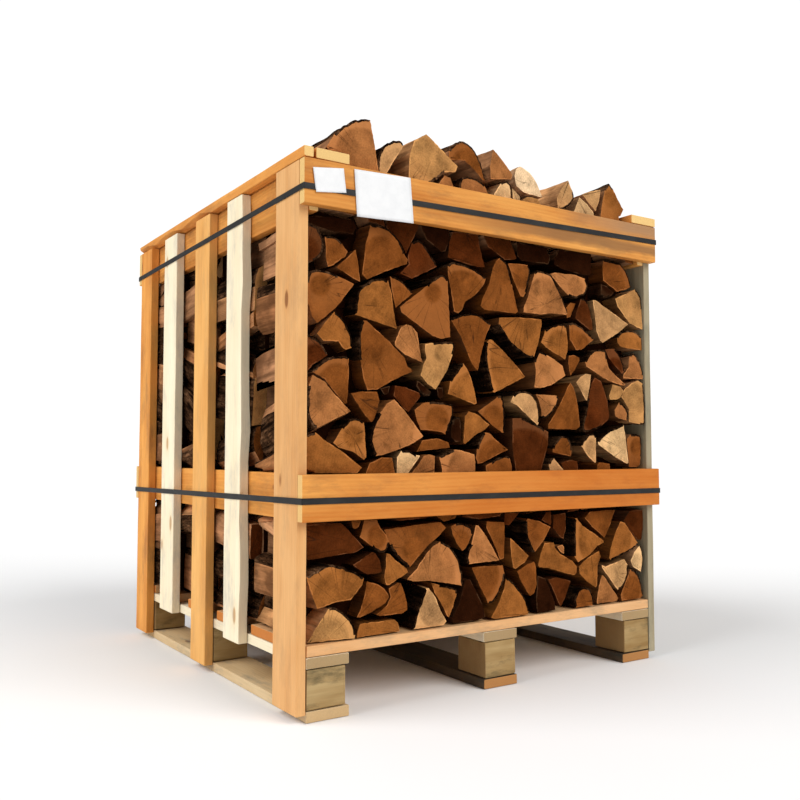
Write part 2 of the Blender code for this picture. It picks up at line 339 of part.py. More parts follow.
    (8, (71.4, 100), (73.2, 104), (82, 104), (84, 99.6), (81.2, 99.6)),
    (8, (81.6, 107.4), (91.6, 107.4), (90.8, 101.8), (89.2, 98.8), (85, 98.8), (82.4, 104.4)),
    (8, (92.6, 107.2), (94.2, 107.2), (94.2, 98.4), (91.2, 98.4), (91.8, 101.8)),
)

# Logs of the front heap, in the same measures
HEAP_LOGS = (
    ("brown_wedge", 3, (6.4, 111.2), (8.4, 114.4), (11, 116.9), (13.6, 118.3), (16.4, 118.8),
     (17.2, 114.6), (17.9, 111), (18.4, 107.9), (12, 107.9), (10.4, 110.9)),
    ("bark_half_round", 12, (19, 108.2), (18.9, 112), (20.4, 114.7), (23, 116.1), (24.8, 116.2),
     (25.2, 115.4), (23.4, 112.6), (20.6, 108)),
    ("large_wedge", 0, (25.9, 107.9), (26.1, 113.5), (27.2, 116.6), (30.2, 118.6), (33.5, 116.4),
     (38.4, 113), (37.9, 111.8), (35, 111.2), (31, 107.9)),
    ("arched_half_round", 8, (36.6, 114.4), (36.6, 116.4), (38.4, 118.5), (40.4, 119.2), (43, 118.7),
     (45, 117), (46.5, 114.4), (47.3, 111.9), (46.6, 111.8), (44, 113.6), (41, 115)),
    ("pink_wedge", 4, (47.9, 112), (47.8, 114.8), (49.2, 119.2), (52.2, 116.8), (54.6, 114.2),
     (54, 113)),
    ("pale_half_round", 2, (55.3, 114.2), (55.8, 115.8), (57.1, 116.6), (59.4, 115.6), (61.1, 113.8),
     (62.3, 111.7), (63.2, 110.2), (61, 110.2), (57.8, 110.6), (55.8, 111.8)),
    ("striped_wedge", 4, (68.4, 111.2), (69.6, 113.4), (71.6, 115.7), (73.1, 113.2), (73.6, 111.6),
     (72, 109.6), (68.8, 108.2)),
    ("tan_wedge", 2, (76.2, 113.1), (79, 114.3), (82.5, 115.2), (82.1, 112.6), (81, 109.8),
     (78.4, 111.4)),
    ("dark_wedge", 0, (82.7, 111), (83.5, 115.2), (84.8, 117), (86.4, 116), (88.2, 113.9), (90.6, 111.6),
     (88.6, 107.9), (82.4, 107.9)),
)


def start_empty():
    """Remove what the scene holds, and make the two collections."""
    for leftover in list(bpy.data.objects):
        bpy.data.objects.remove(leftover, do_unlink=True)
    crate = bpy.data.collections.new("crate_of_oak_firewood")
    helpers = bpy.data.collections.new("cutters")
    bpy.context.scene.collection.children.link(crate)
    bpy.context.scene.collection.children.link(helpers)
    return crate, helpers


def wood(name, colour, roughness):
    material = bpy.data.materials.new(name)
    material.use_nodes = True
    shader = material.node_tree.nodes["Principled BSDF"]
    shader.inputs["Base Color"].default_value = (*colour, 1.0)
    shader.inputs["Roughness"].default_value = roughness
    shader.inputs["Metallic"].default_value = 0.0
    material.diffuse_color = (*colour, 1.0)
    return material


def make_materials():
    return {
        "orange_pine": wood("orange_pine", (0.72, 0.36, 0.11), 0.60),
        "pale_pine": wood("pale_pine", (0.84, 0.74, 0.52), 0.62),
        "pallet_pine": wood("pallet_pine", (0.80, 0.55, 0.30), 0.68),
        "block_wood": wood("block_wood", (0.55, 0.46, 0.28), 0.80),
        "oak_log": wood("oak_log", (0.42, 0.20, 0.08), 0.78),
        "strap": wood("strap", (0.04, 0.045, 0.045), 0.45),
        "paper": wood("paper", (0.88, 0.88, 0.87), 0.70),
    }


def add_object(name, mesh, material, collection):
    piece = bpy.data.objects.new(name, mesh)
    piece.data.materials.append(material)
    collection.objects.link(piece)
    return piece


def board(name, low, high, material, collection):
    """A sawn board or block, given by its lowest and highest corners."""
    low, high = Vector(low), Vector(high)
    centre = (low + high) / 2
    bm = bmesh.new()
    bmesh.ops.create_cube(bm, size=1.0)
    bmesh.ops.scale(bm, vec=high - low, verts=bm.verts)
    mesh = bpy.data.meshes.new(name)
    bm.to_mesh(mesh)
    bm.free()
    piece = add_object(name, mesh, material, collection)
    piece.location = centre
    return piece


def extrude_outline(bm, outline, step):
    """One prism: the outline, a list of points, drawn out along the vector step."""
    corners = [bm.verts.new(point) for point in outline]
    cap = bm.faces.new(corners)
    drawn = bmesh.ops.extrude_face_region(bm, geom=[cap], use_keep_orig=True)
    moved = [item for item in drawn["geom"] if isinstance(item, bmesh.types.BMVert)]
    bmesh.ops.translate(bm, vec=step, verts=moved)


def prisms(name, outlines_and_steps):
    """A mesh of separate prisms with their faces pointing out."""
    bm = bmesh.new()
    for outline, step in outlines_and_steps:
        extrude_outline(bm, outline, step)
    bmesh.ops.recalc_face_normals(bm, faces=bm.faces)
    mesh = bpy.data.meshes.new(name)
    bm.to_mesh(mesh)
    bm.free()
    return mesh


def build_pallet(materials, crate):
    """Three runners, nine blocks, three stringers and the deck boards across them."""
    inner = CRATE_WIDTH / 2 - BOARD - GAP
    half_depth = CRATE_DEPTH / 2
    lines = (("left", -inner, 1), ("middle", 0.0, 0), ("right", inner, -1))
    places = (
        ("front", -half_depth + BLOCK_LENGTH / 2),
        ("middle", MIDDLE_BLOCK_SHIFT),
        ("back", half_depth - BLOCK_LENGTH / 2),
    )
    for line, edge, inward in lines:
        board_middle = edge + inward * RUNNER_WIDTH / 2
        block_middle = edge + inward * BLOCK_WIDTH / 2
        left = board_middle - RUNNER_WIDTH / 2
        right = board_middle + RUNNER_WIDTH / 2
        board(f"runner_{line}", (left, -half_depth, 0.0), (right, half_depth, BOARD),
              materials["pallet_pine"], crate)
        board(f"stringer_{line}", (left, -half_depth, STRINGER_BOTTOM),
              (right, half_depth, STRINGER_TOP), materials["pale_pine"], crate)
        for place, middle in places:
            low = (block_middle - BLOCK_WIDTH / 2, middle - BLOCK_LENGTH / 2, BOARD + GAP)
            high = (block_middle + BLOCK_WIDTH / 2, middle + BLOCK_LENGTH / 2,
                    BOARD + GAP + BLOCK_HEIGHT)
            board(f"block_{line}_{place}", low, high, materials["block_wood"], crate)
    for number, (front, width) in enumerate(DECK_BOARDS, start=1):
        board(f"deck_board_{number}", (-inner, front, DECK_BOTTOM),
              (inner, front + width, DECK_TOP), materials["pallet_pine"], crate)


def build_sides(materials, crate):
    """Upright boards on the left and right, with two rails inside each side."""
    outer = CRATE_WIDTH / 2
    inner = outer - BOARD
    rail_outer = inner - GAP
    rail_inner = rail_outer - BOARD
    rail_end = CRATE_DEPTH / 2 - GAP
    rails = (
        ("top_rail", RAIL_TOP - SIDE_TOP_RAIL_HEIGHT, RAIL_TOP),
        ("middle_rail", MIDDLE_RAIL_TOP - MIDDLE_RAIL_HEIGHT, MIDDLE_RAIL_TOP),
    )
    for side, direction in (("left", -1), ("right", 1)):
        for name, front, width, reaches_ground in SIDE_BOARDS:
            foot = BOARD_FOOT if reaches_ground else STRINGER_BOTTOM
            finish = "orange_pine" if reaches_ground else "pale_pine"
            across = sorted((direction * inner, direction * outer))
            board(f"{side}_{name}", (across[0], front, foot), (across[1], front + width, RAIL_TOP),
                  materials[finish], crate)
        for name, bottom, top in rails:
            across = sorted((direction * rail_inner, direction * rail_outer))
            board(f"{side}_{name}", (across[0], -rail_end, bottom), (across[1], rail_end, top),
                  materials["orange_pine"], crate)


def build_front_and_back_rails(materials, crate):
    """Two rails nailed over the edges of the corner boards, at the front and at the back."""
    half_width = CRATE_WIDTH / 2
    rails = (
        ("top_rail", RAIL_TOP - FRONT_RAIL_HEIGHT, RAIL_TOP),
        ("middle_rail", MIDDLE_RAIL_TOP - FRONT_RAIL_HEIGHT, MIDDLE_RAIL_TOP),
    )
    for end, direction in (("front", -1), ("back", 1)):
        along = sorted((direction * (RAIL_BACK + GAP), direction * RAIL_FACE))
        for name, bottom, top in rails:
            board(f"{end}_{name}", (-half_width, along[0], bottom), (half_width, along[1], top),
                  materials["orange_pine"], crate)


def build_caps(materials, crate):
    """A strip and a board with a waney edge on the left, and one board on the right."""
    bottom = RAIL_TOP + GAP
    top = bottom + BOARD
    left = -CRATE_WIDTH / 2
    board("left_cap_strip", (left, -RAIL_FACE, bottom), (left + CAP_STRIP_WIDTH, RAIL_FACE, top),
          materials["orange_pine"], crate)
    cap_outer = left + CAP_STRIP_WIDTH + CAP_GAP
    cap_inner = cap_outer + LEFT_CAP_WIDTH
    outline = [(cap_outer, -RAIL_FACE), (cap_inner, -RAIL_FACE)]
    outline += [(cap_inner - bite, place) for place, bite in LEFT_CAP_WANE]
    outline += [(cap_inner, RAIL_FACE), (cap_outer, RAIL_FACE)]
    shape = prisms("left_cap_board",
                   [([(x, y, bottom) for x, y in outline], Vector((0.0, 0.0, BOARD)))])
    add_object("left_cap_board", shape, materials["orange_pine"], crate)
    right = CRATE_WIDTH / 2
    board("right_cap_board", (right - RIGHT_CAP_WIDTH, -RAIL_FACE, bottom),
          (right, RAIL_FACE, top), materials["orange_pine"], crate)


def strap_path(reach):
    """A rectangle round the crate with rounded corners, as points from the front left."""
    half_x = CRATE_WIDTH / 2 + GAP + reach
    half_y = RAIL_FACE + GAP + reach
    radius = STRAP_CORNER_RADIUS
    corners = ((-1, -1, 180), (1, -1, 270), (1, 1, 0), (-1, 1, 90))
    points = []
    for side_x, side_y, start in corners:
        for turn in (0, 45, 90):
            angle = math.radians(start + turn)
            points.append((side_x * (half_x - radius) + radius * math.cos(angle),
                           side_y * (half_y - radius) + radius * math.sin(angle)))
    return points


def strap_height(heights, x, y):
    """Height of a strap's middle at a place, between those at the four corners."""
    across = x / CRATE_WIDTH + 0.5
    back = y / CRATE_DEPTH + 0.5
    front_left, front_right, back_right, back_left = heights
    front = front_left + (front_right - front_left) * across
    rear = back_left + (back_right - back_left) * across
    return front + (rear - front) * back


def build_strap(name, heights, materials, crate):
    """A closed band: an open wall round the crate, thickened outwards."""
    bm = bmesh.new()
    path = strap_path(0.0)
    ring = []
    for x, y in path:
        ring.append(bm.verts.new((x, y, strap_height(heights, x, y) - STRAP_WIDTH / 2)))
    edges = [bm.edges.new((ring[i], ring[(i + 1) % len(ring)])) for i in range(len(ring))]
    wall = bmesh.ops.extrude_edge_only(bm, edges=edges)
    raised = [item for item in wall["geom"] if isinstance(item, bmesh.types.BMVert)]
    bmesh.ops.translate(bm, vec=(0.0, 0.0, STRAP_WIDTH), verts=raised)
    for face in bm.faces:
        middle = face.calc_center_median()
        if face.normal.dot(Vector((middle.x, middle.y, 0.0))) < 0:
            face.normal_flip()
    mesh = bpy.data.meshes.new(name)
    bm.to_mesh(mesh)
    bm.free()
    strap = add_object(name, mesh, materials["strap"], crate)
    thicken = strap.modifiers.new("thickness", "SOLIDIFY")
    thicken.thickness = STRAP_THICKNESS
    thicken.offset = 1.0
    return strap


def build_label(name, corners, materials, crate):
    """A sheet of paper in front of the upper strap."""
    front = -(RAIL_FACE + 2 * GAP + STRAP_THICKNESS)
    sheet = [(x, front, z) for x, z in corners]
    mesh = prisms(name, [(sheet, Vector((0.0, -PAPER, 0.0)))])
    add_object(name, mesh, materials["paper"], crate)


def plain_outline(points, tolerance):
    """The outline without the corners that lie nearly on the line between their neighbours."""
    count = len(points)

    def kept(first, last):
        start, end = points[first % count], points[last % count]
        along = end - start
        farthest, distance = None, tolerance
        for index in range(first + 1, last):
            offset = points[index % count] - start
            away = abs(along.x * offset.y - along.y * offset.x) / max(along.length, 1e-9)
            if away > distance:
                farthest, distance = index, away
        if farthest is None:
            return [first % count]
        return kept(first, farthest) + kept(farthest, last)

    pairs = [(i, j) for j in range(count) for i in range(j)]
    first, second = max(pairs, key=lambda pair: (points[pair[0]] - points[pair[1]]).length)
    return [points[index] for index in kept(first, second) + kept(second, first + count)]


def front_view(points):
    """Outline in metres, X and Z, from one in centimetres read off the front."""
    middle_rail = MIDDLE_RAIL_TOP * 100
    outline = []
    for across, up in points:
        x = across * FACE_STRETCH / 100 - CRATE_WIDTH / 2
        z = (up + max(0.0, up - middle_rail) * UPPER_STRETCH) / 100
        outline.append(Vector((x, z)))
    return outline


def turned(outline, mirrored, upside_down, margin):
    """The outline for a row further back: narrower, and turned round or over."""
    side = -margin if mirrored else margin
    lowest = DECK_TOP + 0.003
    result = []
    for point in outline:
        z = UPSIDE_DOWN - point.y if upside_down else point.y
        result.append(Vector((point.x * side, max(z, lowest))))
    return result


def stands_out(outline):
    """True if a log of a rear row reaches past the row's body at a side or on top."""
    wide = max(abs(point.x) for point in outline) > BODY_HALF_WIDTH
    return wide or max(point.y for point in outline) > REAR_BODY_TOP


def row_outlines(row):
    """Recess and outline of each log that shows in a row, counted from the front."""
    mirrored = row in (1, 2)
    upside_down = row in (2, 3)
    shown = []
    for recess, *points in FRONT_LOGS:
        outline = plain_outline(front_view(points), PLAIN_TOLERANCE)
        if row > 0:
            outline = turned(outline, mirrored, upside_down, SIDE_MARGIN)
        if row in (0, ROWS - 1) or stands_out(outline):
            shown.append((recess / 1000, outline))
    if row > 0:
        for name, recess, *points in HEAP_LOGS:
            outline = plain_outline(front_view(points), PLAIN_TOLERANCE)
            outline = turned(outline, not mirrored, False, HEAP_MARGIN)
            shown.append((recess / 1000, [point - Vector((0.0, HEAP_SINK)) for point in outline]))
    return shown


def build_log_row(row, name, materials, crate, helpers):
    """One row of logs: a body with the logs that show drawn out of it and joined to it."""
    front = -CRATE_DEPTH / 2 + row * ROW_PITCH + ROW_GAP / 2
    back = front + ROW_PITCH - ROW_GAP
    body_front = front + (LOG_END_RELIEF if row == 0 else 0.0)
    body_back = back - (LOG_END_RELIEF if row == ROWS - 1 else 0.0)
    body_top = REAR_BODY_TOP if row else BODY_TOP
    body = board(name, (-BODY_HALF_WIDTH, body_front, BODY_BOTTOM),
                 (BODY_HALF_WIDTH, body_back, body_top), materials["oak_log"], crate)
    logs = []
    for recess, outline in row_outlines(row):
        start = front + (recess if row == 0 else ROW_END_MARGIN)
        end = back - (recess if row == ROWS - 1 else ROW_END_MARGIN)
        step = Vector((0.0, end - start, 0.0))
        logs.append(([(point.x, start, point.y) for point in outline], step))
    helper = add_object(f"{name}_logs", prisms(f"{name}_logs", logs), materials["oak_log"],
                        helpers)
    helper.hide_render = True
    helper.display_type = "WIRE"
    join = body.modifiers.new("logs", "BOOLEAN")
    join.operation = "UNION"
    join.solver = "EXACT"
    join.use_self = True
    join.object = helper


def build_heap_log(name, recess, points, materials, crate):
    """One loose log on top of the front row."""
    front = -CRATE_DEPTH / 2 + ROW_GAP / 2 + recess / 1000
    outline = plain_outline(front_view(points), PLAIN_TOLERANCE / 2)
    prism = ([(point.x, front, point.y) for point in outline],
             Vector((0.0, HEAP_LOG_LENGTH, 0.0)))
    add_object(name, prisms(name, [prism]), materials["oak_log"], crate)


def build():
    crate, helpers = start_empty()
    materials = make_materials()
    build_pallet(materials, crate)
    build_sides(materials, crate)
    build_front_and_back_rails(materials, crate)
    build_caps(materials, crate)
    build_strap("upper_strap", UPPER_STRAP, materials, crate)
    build_strap("lower_strap", LOWER_STRAP, materials, crate)
    build_label("small_label", SMALL_LABEL, materials, crate)
    build_label("large_label", LARGE_LABEL, materials, crate)
    for row, place in enumerate(("front", "second", "third", "back")):
        build_log_row(row, f"log_row_{place}", materials, crate, helpers)
    for name, recess, *points in HEAP_LOGS:
        build_heap_log(f"heap_log_{name}", recess, points, materials, crate)


build()
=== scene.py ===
import math

import bmesh
import bpy
from mathutils import Matrix, Vector, noise


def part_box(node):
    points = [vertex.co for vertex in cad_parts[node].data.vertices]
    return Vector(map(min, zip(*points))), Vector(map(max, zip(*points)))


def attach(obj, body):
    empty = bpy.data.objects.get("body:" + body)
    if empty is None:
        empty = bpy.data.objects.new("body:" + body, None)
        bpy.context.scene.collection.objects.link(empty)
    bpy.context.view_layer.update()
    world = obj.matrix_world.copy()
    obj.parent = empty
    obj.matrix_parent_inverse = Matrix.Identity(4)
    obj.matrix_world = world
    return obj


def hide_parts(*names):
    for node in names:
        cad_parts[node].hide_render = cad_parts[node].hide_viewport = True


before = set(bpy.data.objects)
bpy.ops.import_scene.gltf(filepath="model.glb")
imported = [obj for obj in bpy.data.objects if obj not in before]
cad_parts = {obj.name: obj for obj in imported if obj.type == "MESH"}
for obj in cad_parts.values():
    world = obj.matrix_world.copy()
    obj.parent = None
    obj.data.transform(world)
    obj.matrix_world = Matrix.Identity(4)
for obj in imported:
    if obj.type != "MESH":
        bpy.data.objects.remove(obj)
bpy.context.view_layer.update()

noise.seed_set(3)    # without a seed noise_vector starts from the clock


# Runners. Three flat softwood boards lie on the ground from front to back. They are sawn,
# not planed, and the pallet's blocks are nailed through them from below.


class Wire:
    """A socket in a material. Sums, products and powers of wires add Math nodes to it."""

    def __init__(self, tree, socket=None):
        self.tree = tree
        self.socket = socket

    def add(self, kind, settings, inputs, output=0):
        """Add a node with its settings first, then the values or wires of its sockets."""
        node = self.tree.nodes.new("ShaderNode" + kind)
        for name, value in settings.items():
            if name == "stops":
                ramp = node.color_ramp
                while len(ramp.elements) < len(value):
                    ramp.elements.new(0.5)
                for stop, (place, shade) in zip(ramp.elements, value):
                    stop.position = place
                    stop.color = (shade, shade, shade, 1.0)
            else:
                setattr(node, name, value)
        for name, value in inputs.items():
            if isinstance(value, Wire):
                self.tree.links.new(value.socket, node.inputs[name])
            else:
                node.inputs[name].default_value = value
        return Wire(self.tree, node.outputs[output])

    def maths(self, operation, *values):
        return self.add("Math", {"operation": operation}, dict(enumerate(values)))

    def __add__(self, other):
        return self.maths("ADD", self, other)

    def __sub__(self, other):
        return self.maths("SUBTRACT", self, other)

    def __rsub__(self, other):
        return self.maths("SUBTRACT", other, self)

    def __mul__(self, other):
        return self.maths("MULTIPLY", self, other)

    def __pow__(self, other):
        return self.maths("POWER", self, other)

    __radd__ = __add__
    __rmul__ = __mul__

    def wave(self):
        """The sine of this wire."""
        return self.maths("SINE", self)

    def size(self):
        """This wire without its sign."""
        return self.maths("ABSOLUTE", self)

    def part(self, axis):
        """One coordinate of this vector."""
        return self.add("SeparateXYZ", {}, {"Vector": self}, output=axis)

    def mark(self, name, output=2):
        """A value that the mesh carries. Output 0 is a colour, 1 a vector and 3 its alpha."""
        return self.add("Attribute", {"attribute_name": name}, {}, output=output)

    def paint(self, red, green, blue):
        """A plain colour to start from."""
        start = self.add("RGB", {}, {})
        start.socket.default_value = (red, green, blue, 1.0)
        return start

    def ramp(self, *stops):
        """A grey ramp over this wire, through (place, shade) stops."""
        return self.add("ValToRGB", {"stops": stops}, {"Fac": self})

    def rising(self, low, high):
        """Nothing below one value of this wire, all above another."""
        return self.ramp((low, 0.0), (high, 1.0))

    def stretched(self, along, across, through):
        """This vector times three factors."""
        return self.add("VectorMath", {"operation": "MULTIPLY"},
                        {0: self, 1: (along, across, through)})

    def evenly(self, factor):
        """This vector times one factor."""
        return self.stretched(factor, factor, factor)

    def speckle(self, detail=3.0, roughness=0.5):
        """Soft noise, about 0.3 to 0.7, over this vector."""
        return self.add("TexNoise", {}, {"Vector": self, "Scale": 1.0, "Detail": detail,
                                         "Roughness": roughness})

    def tinted(self, factor, colour):
        """This colour, turned towards another where factor is high."""
        colour = colour if isinstance(colour, Wire) else (*colour, 1.0)
        return self.add("Mix", {"data_type": "RGBA"}, {0: factor, 6: self, 7: colour}, output=2)

    def shaded(self, amount):
        """This colour made darker or lighter by a wire round 1."""
        return self.add("VectorMath", {"operation": "SCALE"}, {0: self, "Scale": amount})


def new_finish(name, roughness, gloss=0.12):
    """A material, its shader, and the grain that runs along the piece, in metres."""
    material = bpy.data.materials.new(name)
    material.use_nodes = True
    shader = material.node_tree.nodes["Principled BSDF"]
    shader.inputs["Roughness"].default_value = roughness
    shader.inputs["Specular IOR Level"].default_value = gloss
    return material, shader, Wire(material.node_tree).mark("grain", output=1)


def finish_with(shader, colour, height, strength, depth):
    """Connect a colour and a bump to the shader."""
    links = colour.tree.links
    links.new(colour.socket, shader.inputs["Base Color"])
    bump = colour.add("Bump", {}, {"Strength": strength, "Distance": depth, "Height": height})
    links.new(bump.socket, shader.inputs["Normal"])


def sawn_pine(name, pale, dark, knot, dirt, end_grain, dirt_amount, contrast):
    """Sawn softwood: growth rings, fibres, a knot here and there, some dirt, and end grain."""
    material, shader, grain = new_finish(name, 0.62)
    drift = grain.stretched(1.3, 9.0, 9.0).speckle(2.0)
    core = grain.add("VectorMath", {"operation": "ADD"}, {0: grain.stretched(0.0, 1.0, 1.0),
                                                          1: (0.0, 0.0, 0.045)})
    depth = core.add("VectorMath", {"operation": "LENGTH"}, {0: core}, output=1)
    rings = ((depth * 760.0 + drift * 26.0).wave() * 0.5 + 0.5) ** 1.6
    fibres = grain.stretched(16.0, 420.0, 420.0).speckle(3.0, 0.6)
    streaks = grain.stretched(1.1, 38.0, 38.0).speckle(4.0, 0.55)
    board = grain.evenly(0.11).speckle(0.0)
    cell = grain.add("TexVoronoi", {"feature": "F1"},
                     {"Vector": grain.stretched(5.2, 12.0, 3.0), "Scale": 1.0})
    knots = cell.ramp((0.075, 1.0), (0.115, 0.0))
    halo = cell.ramp((0.10, 1.0), (0.24, 0.0))
    smudges = grain.stretched(6.0, 17.0, 17.0).speckle(6.0, 0.7).rising(0.50, 0.68)
    clouds = grain.stretched(3.2, 11.0, 11.0).speckle(4.0, 0.6).rising(0.38, 0.64)
    figure = rings * 0.12 + streaks.rising(0.35, 0.7) * 0.40 + clouds * 0.48
    colour = grain.paint(*pale).tinted(figure * contrast, dark)
    colour = colour.tinted(halo * 0.35, dark)
    colour = colour.tinted(knots * 0.85, knot)
    colour = colour.tinted(smudges * dirt_amount, dirt)
    colour = colour.tinted(grain.mark("end_cut") * 0.9, end_grain)
    colour = colour.shaded((0.80 + 0.40 * board) * (0.88 + 0.24 * fibres))
    finish_with(shader, colour, fibres * 0.8 + rings * 0.2 + streaks * 0.6, 0.45, 0.0012)
    return material


def link_piece(name, mesh, slot, *nodes):
    """A mesh as a piece of the crate, in place of its CAD nodes."""
    piece = bpy.data.objects.new(name, mesh)
    bpy.context.scene.collection.objects.link(piece)
    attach(piece, "root")
    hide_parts(*nodes)


X, Y, Z = 0, 1, 2
boards_made = []    # each board takes its own stretch of grain from their count


def sawn_board(node, along, through, slot, finish, uneven=0.0006, shape=None):
    """A board in place of its CAD node, with worn edges and faces that aren't quite flat."""
    low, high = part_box(node)
    middle = (low + high) / 2
    size = high - low - Vector((uneven, uneven, uneven)) * 2
    across = 3 - along - through
    bm = bmesh.new()
    bmesh.ops.create_cube(bm, size=1.0)
    bmesh.ops.scale(bm, vec=size, verts=bm.verts)
    bmesh.ops.translate(bm, vec=middle, verts=bm.verts)
    long_edges = [edge for edge in bm.edges if edge.calc_length() > size[along] * 0.9]
    spacing, worn_edge = 0.07, 0.0016
    bmesh.ops.subdivide_edges(bm, edges=long_edges, cuts=max(2, int(size[along] / spacing)))
    if shape:
        for vert in bm.verts:
            shape(vert)
    sharp = [edge for edge in bm.edges if edge.calc_face_angle(0.0) > 1.0]
    bmesh.ops.bevel(bm, geom=sharp, offset=worn_edge, segments=2, profile=0.5,
                    affect="EDGES", material=-1)
    number = len(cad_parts) + len(boards_made)
    boards_made.append(node)
    for vert in bm.verts:
        spot = vert.co * 9.0 + Vector((number, 0.0, 0.0))
        vert.co += noise.noise_vector(spot) * uneven
    grain = bm.verts.layers.float_vector.new("grain")
    ends = bm.faces.layers.float.new("end_cut")
    for vert in bm.verts:
        place = vert.co - middle
        vert[grain] = (place[along] + number * 3.1, place[across] + number * 0.73, place[through])
    for face in bm.faces:
        face[ends] = 1.0 if abs(face.normal[along]) > 0.9 else 0.0
        face.smooth = False
    mesh = bpy.data.meshes.new(f"sawn_{node}")
    bm.to_mesh(mesh)
    bm.free()
    mesh.materials.append(finish)
    link_piece(f"sawn_{node}", mesh, slot, node)


SIDES = ("left", "middle", "right")

pale_runner = sawn_pine("pale_runner_pine", (0.68, 0.52, 0.31), (0.52, 0.34, 0.16),
                        (0.20, 0.09, 0.04), (0.26, 0.23, 0.18), (0.50, 0.33, 0.16),
                        dirt_amount=0.75, contrast=0.9)
# Painted shadow: the middle and right runners lie in the shade under the pallet, so their wood is
# painted near black; only their sawn ends keep an orange end grain.
painted_shade_runner = sawn_pine("runner_pine_painted_shadow", (0.11, 0.075, 0.045), (0.05, 0.030, 0.016),
                        (0.03, 0.015, 0.01), (0.03, 0.03, 0.025), (0.46, 0.21, 0.065),
                        dirt_amount=0.75, contrast=0.9)
for side, finish in zip(SIDES, (pale_runner, painted_shade_runner, painted_shade_runner)):
    sawn_board(f"runner_{side}", Y, Z, "pallet_pine", finish)


# Blocks. Nine blocks of rough, weathered softwood stand between the runners and the
# stringers. They are sawn from the outside of the log; some keep a dark rounded corner, which
# is not drawn here.

block_wood = sawn_pine("weathered_block_wood", (0.50, 0.36, 0.17), (0.26, 0.15, 0.05),
                       (0.08, 0.04, 0.02), (0.06, 0.05, 0.025), (0.24, 0.14, 0.055),
                       dirt_amount=0.85, contrast=1.2)
for side in SIDES:
    for place in ("front", "middle", "back"):
        sawn_board(f"block_{side}_{place}", X, Z, "block_wood", block_wood, uneven=0.0014)


# Stringers. Three pale pine boards lie on the blocks from front to back, nailed into them,
# and carry the deck.

pale_pine = sawn_pine("sawn_pale_pine", (0.90, 0.81, 0.60), (0.76, 0.58, 0.34), (0.50, 0.28, 0.12),
                      (0.42, 0.40, 0.36), (0.34, 0.21, 0.085), dirt_amount=0.50, contrast=0.55)
for side in SIDES:
    sawn_board(f"stringer_{side}", Y, Z, "pale_pine", pale_pine)


# Deck. Six pine boards are nailed across the stringers with wide gaps between them, and the
# logs stand on them.

pallet_pine = sawn_pine("sawn_pallet_pine", (0.80, 0.47, 0.23), (0.60, 0.30, 0.11),
                        (0.20, 0.07, 0.02), (0.22, 0.18, 0.12), (0.54, 0.17, 0.025),
                        dirt_amount=0.50, contrast=0.9)
for number in range(1, 7):
    sawn_board(f"deck_board_{number}", X, Z, "pallet_pine", pallet_pine)


# Side boards. On each side three orange boards run from the ground to the top, and two pale
# slats between them start at the stringers. All are nailed to the rails inside them.

orange_pine = sawn_pine("sawn_orange_pine", (0.84, 0.48, 0.20), (0.64, 0.29, 0.09),
                        (0.24, 0.08, 0.02), (0.36, 0.21, 0.11), (0.50, 0.26, 0.10),
                        dirt_amount=0.30, contrast=0.85)
rich_pine = sawn_pine("sawn_rich_pine", (0.90, 0.50, 0.16), (0.66, 0.28, 0.06), (0.24, 0.08, 0.02),
                      (0.36, 0.21, 0.11), (0.50, 0.26, 0.10), dirt_amount=0.30, contrast=0.95)
# Grey weathered wood, made darker than its own colour as painted shade, for the right front corner
# board.
shaded_grey_pine = sawn_pine("weathered_grey_wood_painted_shade", (0.42, 0.36, 0.24), (0.28, 0.22, 0.13),
                      (0.12, 0.08, 0.05), (0.16, 0.16, 0.12), (0.20, 0.15, 0.09), dirt_amount=0.8,
                      contrast=0.9)
amber_pine = sawn_pine("sawn_amber_pine", (0.84, 0.39, 0.090), (0.56, 0.19, 0.032),
                       (0.20, 0.06, 0.015), (0.26, 0.12, 0.045), (0.80, 0.54, 0.21),
                       dirt_amount=0.50, contrast=1.15)


def wavy_edge(vert):
    """The front slat on the left keeps a wavy edge, where it was sawn near the bark."""
    if vert.co.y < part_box("left_slat_front")[0].y + 0.004:
        long_wave, short_wave = math.sin(vert.co.z * 19.0), math.sin(vert.co.z * 41.0)
        vert.co.y += 0.004 + 0.004 * long_wave + 0.003 * short_wave


for side in ("left", "right"):
    # The right front corner board gets the grey wood with painted shade.
    front_finish = orange_pine if side == "left" else shaded_grey_pine
    sawn_board(f"{side}_corner_board_front", Z, X, "orange_pine", front_finish)
    sawn_board(f"{side}_middle_board", Z, X, "orange_pine", rich_pine)
    sawn_board(f"{side}_corner_board_back", Z, X, "orange_pine", amber_pine)
    sawn_board(f"{side}_slat_front", Z, X, "pale_pine", pale_pine,
               shape=wavy_edge if side == "left" else None)
    sawn_board(f"{side}_slat_back", Z, X, "pale_pine", pale_pine)


# Rails. A top and a middle rail run from front to back inside each side, and two more across
# the front and the back are nailed over the edges of the corner boards. Towards the right
# the front and back top ones get a painted shadow under the strap and grime higher up, and
# the middle ones are redder.


def weathered(material, name, low, high, first, last, band_colour, amount):
    """A copy of a finish with a band of another colour between two heights, growing from left to
    right; used for painted shadow under the strap, for grime and for a redder tint.
    """
    copy = material.copy()
    copy.name = name
    shader = copy.node_tree.nodes["Principled BSDF"]
    clean = Wire(copy.node_tree, shader.inputs["Base Color"].links[0].from_socket)
    spot = clean.add("TexCoord", {}, {}, output=3)
    wander = spot.stretched(7.0, 7.0, 30.0).speckle(4.0, 0.6) * 0.03 - 0.015
    middle, half = (low + high) / 2, (high - low) / 2
    band = (spot.part(2) + wander - middle).size().ramp((half * 0.6, 1.0), (half * 1.3, 0.0))
    growth = ((spot.part(0) - first) * (1.0 / (last - first))).rising(0.0, 1.0)
    banded = clean.tinted(band * growth * amount, band_colour)
    copy.node_tree.links.new(banded.socket, shader.inputs["Base Color"])
    return copy


